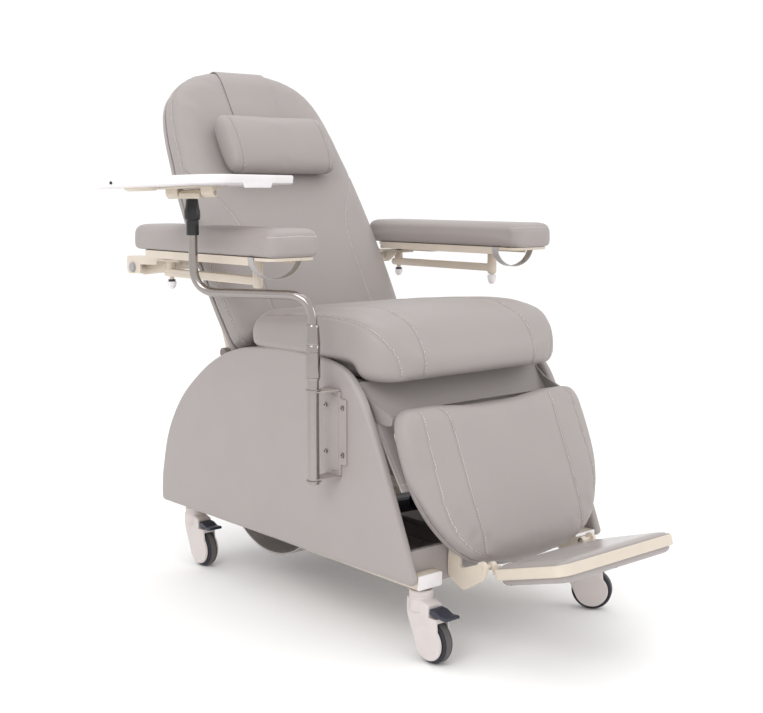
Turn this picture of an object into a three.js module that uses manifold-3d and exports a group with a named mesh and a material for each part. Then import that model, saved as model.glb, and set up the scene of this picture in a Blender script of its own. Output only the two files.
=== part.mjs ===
// Patient recliner: a rolling chair with a levelling pair of arms, a lifting leg rest with a
// folding footrest, and a tray on a swinging tube.
// Millimetres. +Z up, floor at 0, the sitter faces -Y and the sitter's right is -X.

import * as THREE from "three";
import { mergeVertices } from "three/addons/utils/BufferGeometryUtils.js";
import Module from "manifold-3d";

const wasm = await Module();
wasm.setup();

// ---- driving dimensions ------------------------------------------------------------------

// The body is drawn about its own mid-plane, then moved so that its box is centred on the origin.
const RECENTRE = [141.2, 68.3, 0];
const GAP = 0.3;

const RAIL_X = [224, 295];
const RAIL_Y = [-497, 520];
const RAIL_Z = [166, 198];
const CASTER_X = 260;
const CASTER_Y = 468;
const PANEL_X = [295.3, 318.3];
const INNER_HALF = 294;

const SEAT_PAN_Z = [588, 599.7];
const SEAT_TOP_Z = 753;

const BACK_ORIGIN = [0, 204, 705];
const BACK_TILT = -31;
const RECLINE_PIVOT = [126.6, -47.6]; // depth and height in the back's own frame
const RECLINE_AXIS = [288, 599]; // world Y and Z of the same axis
const ARM_PIVOT = [84, 209]; // the same, for the arms' lower axis
const ARM_AXIS = [383.6, 840.9]; // world Y and Z of that axis
const TUBE_AXIS = [540, 827]; // world Y and Z of the cross tube
const LINK_FOOT = [444.4, 585.1]; // world Y and Z of the rear link's lower axis
const LINK_X = -150;

const ARM_SWIVEL = [389, 349]; // X and Y of each arm's upright axis
const ARM_PAD_X = [322, 462];
const ARM_PAD_Y = [-188, 417];
const ARM_PLATE_Z = [875, 882];
const ARM_PAD_TOP = 938;

const LEGREST_ORIGIN = [0, -446, 557];
const LEGREST_TILT = -22.9;
const LEGREST_HINGE = [-392, 528]; // world Y and Z
const FOOT_HINGE = [-580, 215]; // world Y and Z
const FOOT_TILT = -17;

// Each actuator's X, and the world Y and Z of its fixed and its moving eye.
const BACK_ROD = { x: 62, from: [-180, 470], to: [348.4, 489] };
const LEG_ROD = { x: 0, from: [-60, 222], to: [-439, 342.4] };

const TRAY_POST = [-380, -237]; // X and Y of the lower, fixed tube
const TRAY_UPRIGHT = [-525, 24]; // X and Y of the upper end
const TRAY_RUN_Z = 800;
const TRAY_PIN_Z = 1024;
const TRAY_SAG = 2.3;
const TRAY_HEADING = 25.5; // the tray's long side, measured from +X

// ---- making solids -----------------------------------------------------------------------

function toSolid(geometry) {
  const bare = geometry.clone();
  bare.deleteAttribute("normal");
  bare.deleteAttribute("uv");
  const merged = mergeVertices(bare, 1e-3);
  return new wasm.Manifold(
    new wasm.Mesh({
      numProp: 3,
      vertProperties: merged.attributes.position.array,
      triVerts: new Uint32Array(merged.index.array),
    }),
  );
}

function toGeometry(solid) {
  const mesh = solid.getMesh();
  const geometry = new THREE.BufferGeometry();
  geometry.setAttribute(
    "position",
    new THREE.BufferAttribute(new Float32Array(mesh.vertProperties), 3),
  );
  geometry.setIndex(new THREE.BufferAttribute(new Uint32Array(mesh.triVerts), 1));
  return geometry;
}

const join = (...parts) => toGeometry(parts.map(toSolid).reduce((a, b) => a.add(b)));

const cut = (body, ...tools) =>
  toGeometry(tools.map(toSolid).reduce((a, b) => a.subtract(b), toSolid(body)));

const common = (a, b) => toGeometry(toSolid(a).intersect(toSolid(b)));

// ---- basic shapes ------------------------------------------------------------------------

function box([x0, x1], [y0, y1], [z0, z1]) {
  const geometry = new THREE.BoxGeometry(x1 - x0, y1 - y0, z1 - z0);
  return geometry.translate((x0 + x1) / 2, (y0 + y1) / 2, (z0 + z1) / 2);
}

// A round bar, or a cone when the second radius differs.
function rod(from, to, radius, endRadius = radius, sides = 16) {
  const start = new THREE.Vector3(...from);
  const end = new THREE.Vector3(...to);
  const along = end.clone().sub(start);
  const middle = start.clone().add(end).multiplyScalar(0.5);
  const turn = new THREE.Quaternion().setFromUnitVectors(
    new THREE.Vector3(0, 1, 0),
    along.clone().normalize(),
  );
  return new THREE.CylinderGeometry(endRadius, radius, along.length(), sides)
    .applyQuaternion(turn)
    .translate(middle.x, middle.y, middle.z);
}

// A closed outline from corners [u, v, radius]; a corner without a radius stays sharp.
function outline(corners, steps = 3) {
  const points = [];
  corners.forEach(([u, v, radius = 0], i) => {
    const here = new THREE.Vector2(u, v);
    if (!radius) {
      points.push(here);
      return;
    }
    const before = corners.at(i - 1);
    const after = corners[(i + 1) % corners.length];
    const back = new THREE.Vector2(before[0], before[1]).sub(here).normalize();
    const on = new THREE.Vector2(after[0], after[1]).sub(here).normalize();
    const half = Math.acos(back.dot(on)) / 2;
    const inward = back.clone().add(on).normalize();
    const centre = here.clone().addScaledVector(inward, radius / Math.sin(half));
    const first = here.clone().addScaledVector(back, radius / Math.tan(half)).sub(centre);
    const last = here.clone().addScaledVector(on, radius / Math.tan(half)).sub(centre);
    const sweep = Math.atan2(first.cross(last), first.dot(last));
    for (let k = 0; k <= steps; k++) {
      const spoke = first.clone().rotateAround(new THREE.Vector2(), (sweep * k) / steps);
      points.push(spoke.add(centre));
    }
  });
  return points;
}

function circle(u, v, radius, sides = 16) {
  const points = [];
  for (let k = 0; k < sides; k++) {
    const angle = (2 * Math.PI * k) / sides;
    points.push(new THREE.Vector2(u + radius * Math.cos(angle), v + radius * Math.sin(angle)));
  }
  return points;
}

// Which way an outline's u, v and depth run for a plate that is thick along x, y or z.
const PLATE_AXES = {
  x: [new THREE.Vector3(0, 1, 0), new THREE.Vector3(0, 0, 1), new THREE.Vector3(1, 0, 0)],
  y: [new THREE.Vector3(1, 0, 0), new THREE.Vector3(0, 0, 1), new THREE.Vector3(0, -1, 0)],
  z: [new THREE.Vector3(1, 0, 0), new THREE.Vector3(0, 1, 0), new THREE.Vector3(0, 0, 1)],
};

// An outline made solid between two planes, its edges eased by a bevel.
function plate(axis, points, [low, high], bevel = 0, rounds = 2, holes = []) {
  const shape = new THREE.Shape(points);
  shape.holes = holes.map((hole) => new THREE.Path(hole));
  const geometry = new THREE.ExtrudeGeometry(shape, {
    depth: high - low - 2 * bevel,
    bevelEnabled: bevel > 0,
    bevelSize: bevel,
    bevelThickness: bevel,
    bevelOffset: -bevel,
    bevelSegments: rounds,
    curveSegments: 1,
  });
  geometry.translate(0, 0, axis === "y" ? -high + bevel : low + bevel);
  return geometry.applyMatrix4(new THREE.Matrix4().makeBasis(...PLATE_AXES[axis]));
}

// A solid of revolution about a vertical line; the profile is [radius, height], bottom to top.
function turned([x, y], profile, sides = 20) {
  const points = profile.map(([radius, height]) => new THREE.Vector2(radius, height));
  return new THREE.LatheGeometry(points, sides).rotateX(Math.PI / 2).translate(x, y, 0);
}

// A plate with a round eye at one end, standing on the sitter's left-right axis.
function eyePlate(corners, eye, radius, range) {
  return join(plate("x", outline(corners), range), plate("x", circle(...eye, radius), range));
}

// The range on X of something drawn for the +X side, on either side.
const onSide = (side, [inner, outer]) => (side > 0 ? [inner, outer] : [-outer, -inner]);

const SIDES = [
  ["R", -1],
  ["L", 1],
];

// ---- placing tilted parts ----------------------------------------------------------------

function placed(geometry, [x, y, z], tilt) {
  return geometry.clone().rotateX(THREE.MathUtils.degToRad(tilt)).translate(x, y, z);
}

const onBack = (geometry) => placed(geometry, BACK_ORIGIN, BACK_TILT);
const onLegrest = (geometry) => placed(geometry, LEGREST_ORIGIN, LEGREST_TILT);

// ---- finishes ----------------------------------------------------------------------------

const FINISHES = {
  vinyl: { color: 0xb8b0ae, roughness: 0.55, metalness: 0 },
  cream: { color: 0xded2c0, roughness: 0.45, metalness: 0.1 },
  white: { color: 0xebe4e6, roughness: 0.4, metalness: 0 },
  plastic: { color: 0xded6d4, roughness: 0.4, metalness: 0 },
  chrome: { color: 0xd8d8dc, roughness: 0.15, metalness: 1 },
  black: { color: 0x32323e, roughness: 0.5, metalness: 0 },
  dark: { color: 0x3a302c, roughness: 0.9, metalness: 0 },
  tyre: { color: 0x2a2a30, roughness: 0.8, metalness: 0 },
};

const chair = new THREE.Group();
chair.name = "patient_recliner";

function add(name, geometry, finish) {
  const flat = geometry.index ? geometry.toNonIndexed() : geometry;
  flat.computeVertexNormals();
  const mesh = new THREE.Mesh(flat, new THREE.MeshStandardMaterial(FINISHES[finish]));
  mesh.name = name;
  mesh.position.set(...RECENTRE);
  chair.add(mesh);
}

// ---- the base ----------------------------------------------------------------------------

function sideFrame(side) {
  const rail = box(onSide(side, RAIL_X), RAIL_Y, RAIL_Z);
  const parts = [rail];
  for (const y of [-CASTER_Y, CASTER_Y]) {
    parts.push(rod([side * CASTER_X, y, 160], [side * CASTER_X, y, 170], 10));
  }
  for (const y of [[-240, -200], [150, 190]]) {
    parts.push(box(onSide(side, [240, 280]), y, [197, SEAT_PAN_Z[0] - GAP]));
  }
  return join(...parts);
}

// The front cross bar carries a keel that ends in the leg actuator's lug.
function frontCrossbar() {
  const bar = box([-223.7, 223.7], [-440, -400], RAIL_Z);
  const keel = box([-20, 20], [-401, -30], RAIL_Z);
  const lug = eyePlate([[-88, 197], [-30, 197], [-46, 222], [-74, 222]], LEG_ROD.from, 14, [8, 16]);
  const pin = rod([9, ...LEG_ROD.from], [-8, ...LEG_ROD.from], 4);
  return join(bar, keel, lug, pin);
}

// The rear cross bar carries the mast that holds the foot of the levelling link.
function rearCrossbar() {
  const bar = box([-223.7, 223.7], [412, 452], RAIL_Z);
  const mast = box([-176, -158], [415, 437], [197, 590]);
  const eye = plate("x", circle(...LINK_FOOT, 14), [-176, -158]);
  const pin = rod([-159, ...LINK_FOOT], [-141, ...LINK_FOOT], 6);
  return join(bar, mast, eye, pin);
}

// Points along a smooth curve through the given ones.
function smooth(points, steps) {
  const curve = new THREE.CatmullRomCurve3(points.map(([y, z]) => new THREE.Vector3(0, y, z)), false, "centripetal");
  return curve.getPoints(steps * (points.length - 1)).map((p) => [p.y, p.z]);
}

function sidePanel(side) {
  const crest = [
    [-497, 206],
    [-480, 249],
    [-437, 351],
    [-396, 445],
    [-355, 528],
    [-318, 588],
    [-266, 630],
    [-182, 650],
    [-66, 657.5],
    [50, 652],
    [164, 636],
    [262, 602],
    [352, 548],
    [440, 474],
    [507, 376],
    [541, 266],
    [549, 206],
  ];
  const corners = [...smooth(crest, 2), [548, 172, 10], [-508, 180, 10]];
  return plate("x", outline(corners), onSide(side, PANEL_X), 6, 3);
}

function kickBoard() {
  const corners = [
    [-INNER_HALF, 198.5],
    [-223.5, 198.5],
    [-223.5, 166],
    [223.5, 166],
    [223.5, 198.5],
    [INNER_HALF, 198.5],
    [INNER_HALF, 248],
    [-INNER_HALF, 248],
  ];
  return plate("y", outline(corners), [-470, -458]);
}

function rearBoard() {
  const profile = [
    [522, 198.5],
    [530, 198.5],
    [536, 262, 12],
    [459, 400],
    [452, 396],
    [528, 262, 8],
  ];
  return plate("x", outline(profile), [-INNER_HALF, INNER_HALF]);
}

// A thin trough that hangs below the side panels, and the sheet that closes the underside.
function bellyPan() {
  const centre = [205, 302];
  const radii = [230, 226];
  const half = 0.925;
  const points = [];
  for (const [radius, way] of [[radii[0], 1], [radii[1], -1]]) {
    for (let k = 0; k <= 20; k++) {
      const angle = way * half * (k / 10 - 1) - Math.PI / 2;
      points.push([centre[0] + radius * Math.cos(angle), centre[1] + radius * Math.sin(angle)]);
    }
  }
  const trough = plate("x", outline(points), [-190, 190]);
  const sheet = box([-222.5, 222.5], [-455, 450], [162.7, 165.6]);
  const opening = rod([-190, ...centre], [190, ...centre], 228, 228, 48);
  return join(trough, cut(sheet, opening));
}

// The pan carries the recline lugs, the back actuator's hanger and the leg rest's hinge tube.
function seatPan() {
  const parts = [box([-291, 291], [-283, 210], SEAT_PAN_Z)];
  const lug = [[180, 588.5], [RECLINE_AXIS[0], 586], [RECLINE_AXIS[0], 599], [180, 599]];
  const hanger = [[-350, 599], [-350, 546], [-392, 540], [-392, 516], [-340, 516], [-310, 560], [-310, 599]];
  for (const side of [-1, 1]) {
    parts.push(eyePlate(lug, RECLINE_AXIS, 13, onSide(side, [213, 221])));
    parts.push(rod([side * 214, ...RECLINE_AXIS], [side * 240, ...RECLINE_AXIS], 6));
    parts.push(box(onSide(side, [264, 291]), [-350, -280], SEAT_PAN_Z));
    parts.push(eyePlate(hanger, LEGREST_HINGE, 12, onSide(side, [283, 291])));
  }
  parts.push(rod([-290, ...LEGREST_HINGE], [290, ...LEGREST_HINGE], 8));
  const actuatorDrop = [[-200, 589], [-192, 470], [-168, 470], [-160, 589]];
  parts.push(eyePlate(actuatorDrop, BACK_ROD.from, 13, [69.4, 77.4]));
  parts.push(rod([70, ...BACK_ROD.from], [54, ...BACK_ROD.from], 4));
  return join(...parts);
}

// The seat is wider above the side panels than between them, and its sides step in below.
function seatCushion() {
  const front = [
    [-242, SEAT_TOP_Z, 40],
    [-318, 746, 30],
    [-366, 712, 30],
    [-390, 655, 30],
    [-384, 600],
  ];
  const profile = [[126, 600.3], [190, 703, 20], ...front.map(([y, z, r]) => [y, z, r])];
  profile[profile.length - 1][1] = 600.3;
  const whole = plate("x", outline(profile, 3), [-305, 305], 12, 2);
  const below = box([-400, 400], [-500, 300], [590, 658.5]);
  const middle = box([-291, 291], [-500, 300], [590, 660]);
  const plan = [
    [-306, -400, 75],
    [306, -400, 75],
    [306, 300],
    [-306, 300],
  ];
  const rounded = common(whole, plate("z", outline(plan), [500, 900]));
  const upper = cut(rounded, below);
  return join(upper, common(rounded, middle));
}

// A vinyl sheet that slopes from under the seat's front edge, slotted for the leg actuator.
function apron() {
  const profile = [
    [-284, 599.5],
    [-290, 599.8],
    [-440, 377],
    [-436, 374.5],
  ];
  const slot = box([-30, 30], [-450, -330], [300, 505]);
  return cut(plate("x", outline(profile), [-262, 262]), slot);
}

function controlBox() {
  const shell = [
    [-222, 230, 8],
    [-112, 230, 8],
    [-112, 330, 8],
    [-222, 330, 8],
  ];
  return plate("z", outline(shell), [199, 275], 3, 1);
}

// A motor housing with its gearbox, drawn along the line of its rod; the bore's depth is its stroke.
function actuatorHousing({ x, from, to }, length, depth, lateral) {
  const along = new THREE.Vector2(to[0] - from[0], to[1] - from[1]).normalize();
  const at = (d) => [x, from[0] + along.x * d, from[1] + along.y * d];
  const body = rod(at(22), at(length), 24);
  const motor = rod([x + lateral, ...at(34).slice(1)], [x + lateral, ...at(150).slice(1)], 21);
  const eye = plate("x", circle(...from, 13), [x - 7, x + 7]);
  const neck = rod(at(8), at(24), 7);
  const bore = rod(at(length - depth), at(length + 5), 9);
  const pivot = rod([x - 10, ...from], [x + 10, ...from], 4.5);
  return cut(join(body, motor, eye, neck), bore, pivot);
}

// The rod slides in its housing; the eye at its end stands beside its lug.
function actuatorRod({ x, from, to }, length) {
  const along = new THREE.Vector2(to[0] - from[0], to[1] - from[1]).normalize();
  const at = (d) => [x, to[0] - along.x * d, to[1] - along.y * d];
  return join(rod(at(length), at(4), 8), plate("x", circle(...to, 11), [x - 6, x + 6]));
}

function addBase() {
  add("frame_right", sideFrame(-1), "cream");
  add("frame_left", sideFrame(1), "cream");
  add("crossbar_front", frontCrossbar(), "cream");
  add("crossbar_rear", rearCrossbar(), "cream");
  add("side_panel_right", sidePanel(-1), "vinyl");
  add("side_panel_left", sidePanel(1), "vinyl");
  add("kick_board", kickBoard(), "vinyl");
  add("rear_board", rearBoard(), "vinyl");
  add("belly_pan", bellyPan(), "vinyl");
  add("seat_pan", seatPan(), "cream");
  add("seat_cushion", seatCushion(), "vinyl");
  add("apron", apron(), "vinyl");
  add("control_box", controlBox(), "black");
  add("back_actuator", actuatorHousing(BACK_ROD, 330, 222, 38), "black");
  add("back_rod", actuatorRod(BACK_ROD, 300), "chrome");
  add("leg_actuator", actuatorHousing(LEG_ROD, 345, 305, -38), "black");
  add("leg_rod", actuatorRod(LEG_ROD, 350), "chrome");
}

// ---- the back ----------------------------------------------------------------------------

// Half-widths of the back cushion against height, bottom to top.
const BACK_HALF = [
  [-65, 272],
  [-40, 286],
  [40, 291],
  [110, 297],
  [250, 297],
  [430, 290],
  [480, 280],
  [560, 276],
  [650, 262],
  [720, 226],
  [765, 165],
  [785, 90],
];

function mirrored(halves) {
  const right = halves.map(([s, half]) => [-half, s]);
  const left = halves.map(([s, half]) => [half, s]).reverse();
  return [...left, ...right].map(([u, v]) => new THREE.Vector2(u, v));
}

function backCushion() {
  return onBack(plate("y", mirrored(BACK_HALF).reverse(), [0, 73], 22, 3));
}

// The board, its two side ribs with the recline eyes, the arm axis and the actuator's lever.
function backFrame() {
  const board = BACK_HALF.map(([s, half]) => [Math.min(Math.max(s, -60), 760), half - 16]);
  const parts = [plate("y", mirrored(board).reverse(), [74, 86])];
  const [pivotY, pivotZ] = RECLINE_PIVOT;
  const rib = [
    [85, -52],
    [pivotY - 4, pivotZ - 12],
    [pivotY + 12, pivotZ],
    [104, 40],
    [100, 420],
    [85, 430],
  ];
  for (const side of [-1, 1]) {
    const pin = rod([side * 220, ...RECLINE_PIVOT], [side * 240, ...RECLINE_PIVOT], 6.5);
    parts.push(cut(eyePlate(rib, RECLINE_PIVOT, 14, onSide(side, [225, 235])), pin));
    parts.push(rod([side * 200, ...ARM_PIVOT], [side * 372, ...ARM_PIVOT], 8));
  }
  parts.push(box([-226, 226], [85, 104], [20, 50]));
  const lever = [[85, 60], [85, -30], [228, -123], [241, -99], [104, 60]];
  parts.push(eyePlate(lever, [234.7, -111], 13.7, [46, 54]));
  return onBack(join(...parts));
}

const PILLOW = { half: 176, s: [414, 590], y: [-80, -4.5] };

function pillow() {
  const [s0, s1] = PILLOW.s;
  const [front, rear] = PILLOW.y;
  const section = [
    [rear, s0, 22],
    [rear, s1, 22],
    [front, s1, 36],
    [front, s0, 36],
  ];
  return onBack(plate("x", outline(section), [-PILLOW.half, PILLOW.half], 14, 3));
}

// A flat strap from behind the pillow, over the top of the back and down behind it.
function pillowStrap() {
  const section = [
    [-3.6, 470],
    [-0.4, 470],
    [-0.4, 787],
    [89, 787],
    [89, 700],
    [92, 700],
    [92, 790, 6],
    [-3.6, 790, 6],
  ];
  return onBack(plate("x", outline(section), [-80, 80]));
}

function addBack() {
  add("back_frame", backFrame(), "cream");
  add("back_cushion", backCushion(), "vinyl");
  add("pillow", pillow(), "vinyl");
  add("pillow_strap", pillowStrap(), "vinyl");
}

// ---- the arms ----------------------------------------------------------------------------

function armTube() {
  const tube = rod([-396, ...TUBE_AXIS], [396, ...TUBE_AXIS], 12.5);
  const plugs = [-1, 1].map((side) =>
    rod([side * 395, ...TUBE_AXIS], [side * 400, ...TUBE_AXIS], 13.5),
  );
  return join(tube, ...plugs);
}

function rearLink() {
  const [footY, footZ] = LINK_FOOT;
  const [topY, topZ] = TUBE_AXIS;
  const x = [LINK_X - 4, LINK_X + 4];
  const along = new THREE.Vector2(topY - footY, topZ - footZ).normalize();
  const across = [along.y * 12, -along.x * 12];
  const bar = [
    [footY - across[0], footZ - across[1]],
    [footY + across[0], footZ + across[1]],
    [topY + across[0], topZ + across[1]],
    [topY - across[0], topZ - across[1]],
  ];
  const ends = [plate("x", circle(footY, footZ, 15), x), plate("x", circle(topY, topZ, 19), x)];
  const foot = rod([LINK_X - 9, ...LINK_FOOT], [LINK_X + 9, ...LINK_FOOT], 6.6);
  const top = rod([LINK_X - 9, ...TUBE_AXIS], [LINK_X + 9, ...TUBE_AXIS], 13.1, 13.1, 32);
  return cut(join(plate("x", outline(bar), x), ...ends), foot, top);
}

// The web turns on the back's stub axle, grips the cross tube and carries the swivel flange.
function armBracket(side) {
  const [axisY, axisZ] = ARM_AXIS;
  const [tubeY, tubeZ] = TUBE_AXIS;
  const web = [
    [332, 857],
    [332, 846],
    [axisY - 18, axisZ - 18, 12],
    [axisY + 10, axisZ - 20, 12],
    [tubeY - 6, tubeZ - 21, 14],
    [tubeY + 21, tubeZ - 14, 14],
    [tubeY + 14, tubeZ + 21, 14],
    [axisY + 22, axisZ + 16],
  ];
  const flange = [
    [358, 296, 4],
    [402, 296, 6],
    [414, 330, 8],
    [414, 380, 8],
    [358, 402, 4],
  ];
  const flangePoints = flange.map(([x, y, r]) => [side * x, y, r]);
  const axle = rod([side * 350, ...ARM_AXIS], [side * 380, ...ARM_AXIS], 8.4);
  const tube = rod([side * 340, ...TUBE_AXIS], [side * 396, ...TUBE_AXIS], 12.8, 12.8, 32);
  const cheek = [
    [415, 857],
    [415, 839],
    [503, 836],
    [503, 812, 3],
    [573, 809, 12],
    [573, 857, 8],
  ];
  const swivel = rod([side * ARM_SWIVEL[0], ARM_SWIVEL[1], 840], [side * ARM_SWIVEL[0], ARM_SWIVEL[1], 870], 6.5);
  const body = join(
    plate("x", outline(web), onSide(side, [359, 365])),
    plate("z", orient(flangePoints, side), [851, 857]),
    plate("x", outline(cheek), onSide(side, [389, 394])),
    box(onSide(side, [359, 394]), [398, 565], [853, 857]),
  );
  return cut(body, axle, tube, swivel);
}

// Outlines mirrored to the other side run the wrong way round, so they are turned back.
function orient(corners, side) {
  return outline(side > 0 ? corners : [...corners].reverse());
}

function armPlan(side, inset, shorter = 0) {
  const [x0, x1] = [ARM_PAD_X[0] + inset, ARM_PAD_X[1] - inset];
  const [y0, y1] = [ARM_PAD_Y[0] + inset, ARM_PAD_Y[1] - inset - shorter];
  const corners = [
    [x0, y0, 26 - inset],
    [x1, y0, 26 - inset],
    [x1, y1, 30 - inset],
    [x0, y1, 30 - inset],
  ];
  return corners.map(([x, y, r]) => [side * x, y, r]);
}

function armPad(side) {
  return plate("z", orient(armPlan(side, 0), side), [ARM_PLATE_Z[1] + GAP, ARM_PAD_TOP], 12, 3);
}

// The metal plate under the pad, with folded sides, the turntable disc and the swivel pin.
function armPlate(side) {
  const [x, y] = [side * ARM_SWIVEL[0], ARM_SWIVEL[1]];
  const top = plate("z", orient(armPlan(side, 4, 32), side), ARM_PLATE_Z);
  const flanges = [[326, 329], [455, 458]].map((range) =>
    box(onSide(side, range), [-100, 360], [863, 876]),
  );
  const disc = rod([x, y, 860], [x, y, 876], 28);
  const pin = rod([x, y, 805], [x, y, 876], 6);
  return join(top, ...flanges, disc, pin);
}

// The bar below, its front post up to the plate and the bush round the swivel pin.
function armBar(side) {
  const [x, y] = [side * ARM_SWIVEL[0], ARM_SWIVEL[1]];
  const bar = box(onSide(side, [379, 399]), [-43, 362], [812, 832]);
  const end = rod([x, 362, 812], [x, 362, 832], 10);
  const post = turned([x, -39], [[0, 804], [8, 804], [12.5, 809], [12.5, ARM_PLATE_Z[0] - GAP], [0, ARM_PLATE_Z[0] - GAP]]);
  const bush = rod([x, y, 831], [x, y, 850.5], 12);
  const parts = [bar, end, post, bush];
  if (side > 0) {
    parts.push(turned([x, -39], [[0, 783], [12, 783], [12, 787], [8, 800], [8, 806], [0, 806]]));
  }
  const bore = rod([x, y, 800], [x, y, 860], 6.4);
  return cut(join(...parts), bore);
}

// A hand strap that hangs in a loop across the arm, from one edge of the plate to the other.
function armStrap(side) {
  const middle = (ARM_PAD_X[0] + ARM_PAD_X[1]) / 2;
  const points = [];
  for (const [drop, way] of [[0, 1], [2.2, -1]]) {
    for (let k = 0; k <= 16; k++) {
      const angle = Math.PI * (way > 0 ? k / 16 : 1 - k / 16);
      points.push([middle - (69.9 - drop) * Math.cos(angle), 881.9 - (53.5 - drop) * Math.sin(angle), 0]);
    }
  }
  const turned = points.map(([x, z, r]) => [side * x, z, r]);
  return plate("y", orient(turned, -side), [-124, -104]);
}

function releaseLever(side) {
  const corners = [
    [372, 186, 10],
    [398, 186, 10],
    [398, 318, 3],
    [372, 318, 3],
  ];
  const points = corners.map(([x, y, r]) => [side * x, y, r]);
  return plate("z", orient(points, side), [857.3, 859.6]);
}

function rearKnob(side) {
  const profile = [
    [0, 786],
    [10, 786],
    [12, 790],
    [12, 797],
    [9, 804.6],
    [0, 804.6],
  ];
  return turned([side * ARM_SWIVEL[0], ARM_SWIVEL[1]], profile);
}

function addArms() {
  add("arm_tube", armTube(), "cream");
  add("rear_link", rearLink(), "cream");
  for (const [tag, side] of SIDES) {
    add("arm_bracket_" + tag, armBracket(side), "cream");
    add("arm_plate_" + tag, armPlate(side), "cream");
    add("arm_bar_" + tag, armBar(side), "chrome");
    add("arm_pad_" + tag, armPad(side), "vinyl");
    add("arm_strap_" + tag, armStrap(side), "vinyl");
    add("release_lever_" + tag, releaseLever(side), "cream");
    add("rear_knob_" + tag, rearKnob(side), "white");
  }
}

// ---- the leg rest and footrest -----------------------------------------------------------

// Half-widths of the leg rest against the distance down from its top edge.
const LEGREST_HALF = [
  [0, 268],
  [18, 292],
  [40, 300],
  [150, 300],
  [215, 282],
  [280, 250],
  [320, 218],
  [342, 190],
  [357, 146],
  [374, 95],
];

const legrestOutline = (inset) =>
  mirrored(LEGREST_HALF.map(([s, half]) => [-s + (s > 300 ? inset : 0), half - inset]));

function hingeGroove(radius) {
  return rod([-320, 61, -5.7], [320, 61, -5.7], radius);
}

function legrestCushion() {
  const front = plate("y", legrestOutline(0), [0, 60], 16, 3);
  const narrow = box([-291, 291], [37, 70], [-400, 20]);
  const forward = box([-320, 320], [-10, 38], [-400, 20]);
  return onLegrest(cut(join(common(front, forward), common(front, narrow)), hingeGroove(17.5)));
}

// The board, its hinge eyes, the actuator's lug and the two hooks that hold the footrest.
function legrestFrame() {
  const board = common(
    plate("y", legrestOutline(24), [61, 73]),
    box([-276, 276], [50, 80], [-400, -19]),
  );
  const strap = [[46, -8], [76, -8], [73, -60], [62, -60], [62, -24]];
  const tube = rod([-200, 61, -5.7], [200, 61, -5.7], 8.6);
  const parts = [board];
  for (const side of [-1, 1]) {
    parts.push(cut(eyePlate(strap, [61, -5.7], 15.5, onSide(side, [180, 190])), tube));
  }
  parts.push(eyePlate([[72, -165], [94, -185], [94, -205], [72, -225]], [90, -195], 11, [8.6, 16.6]));
  const inWorld = [onLegrest(join(...parts))];
  const hook = [
    [-594, 215, 13],
    [-588, 190, 20],
    [-523, 150, 20],
    [-474, 175, 14],
    [-474, 212, 6],
    [-478, 262],
    [-494, 266],
    [-509, 232],
    [-511, 204, 4],
    [-522, 202, 4],
    [-566, 220],
    [-572, 228, 8],
    [-588, 230, 10],
  ];
  for (const side of [-1, 1]) {
    inWorld.push(plate("x", outline(hook), onSide(side, [176, 184])));
    inWorld.push(rod([side * 150, ...FOOT_HINGE], [side * 188, ...FOOT_HINGE], 5));
  }
  return join(...inWorld);
}

// Placed with its hinge at the origin and the plate running forward, a little below it.
const onFoot = (geometry) => placed(geometry, [0, ...FOOT_HINGE], FOOT_TILT);

function footPlan(inset) {
  const corners = [
    [-168 + inset, -16 - inset, 13 - inset],
    [-192 + inset, -246 + inset, 30 - inset],
    [192 - inset, -246 + inset, 30 - inset],
    [168 - inset, -16 - inset, 13 - inset],
  ];
  return outline(corners, 5);
}

// A rimmed tray with two hinge knuckles; the pad lies in it.
function footrestFrame() {
  const shell = plate("z", footPlan(0), [-32, -8], 2, 1);
  const well = plate("z", footPlan(4), [-24, 5]);
  const parts = [cut(shell, well)];
  for (const side of [-1, 1]) {
    parts.push(rod([side * 144, 0, 0], [side * 158, 0, 0], 9));
    parts.push(box(onSide(side, [144, 158]), [-18, -4], [-20, -2]));
  }
  const pin = rod([-176, 0, 0], [176, 0, 0], 5.5);
  return onFoot(cut(join(...parts), pin));
}

function footrestPad() {
  return onFoot(plate("z", footPlan(4.6), [-23.7, -1], 4, 2));
}

function addLegrest() {
  add("legrest_frame", legrestFrame(), "cream");
  add("legrest_cushion", legrestCushion(), "vinyl");
  add("footrest_frame", footrestFrame(), "cream");
  add("footrest_pad", footrestPad(), "vinyl");
}

// ---- the tray ----------------------------------------------------------------------------

// A folded bracket on the right panel, its bolts, and the tube that holds the swinging one.
function trayBracket() {
  const face = -PANEL_X[1] - GAP;
  const [x, y] = TRAY_POST;
  const parts = [
    box([face - 3, face], [-283, -190], [410, 567]),
    box([face - 3, face], [-259, -196], [380, 585]),
    rod([x, y, 371], [x, y, 610], 13),
    rod([x, y, 608], [x, y, 689.7], 16.5),
  ];
  for (const z of [[380, 384], [581, 585]]) {
    parts.push(box([x, face - 1], [-259, -214], z));
  }
  for (const boltY of [-209, -266]) {
    for (const boltZ of [544, 435]) {
      parts.push(rod([face - 8, boltY, boltZ], [face - 2, boltY, boltZ], 6, 6, 12));
    }
  }
  return cut(join(...parts), rod([x, y, 540], [x, y, 700], 10.9));
}

function trayCollar() {
  const ring = turned(TRAY_POST, [[0, 690], [16.5, 690], [14, 730], [14, 735], [0, 735]]);
  return cut(ring, rod([...TRAY_POST, 680], [...TRAY_POST, 740], 10.9));
}

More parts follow.
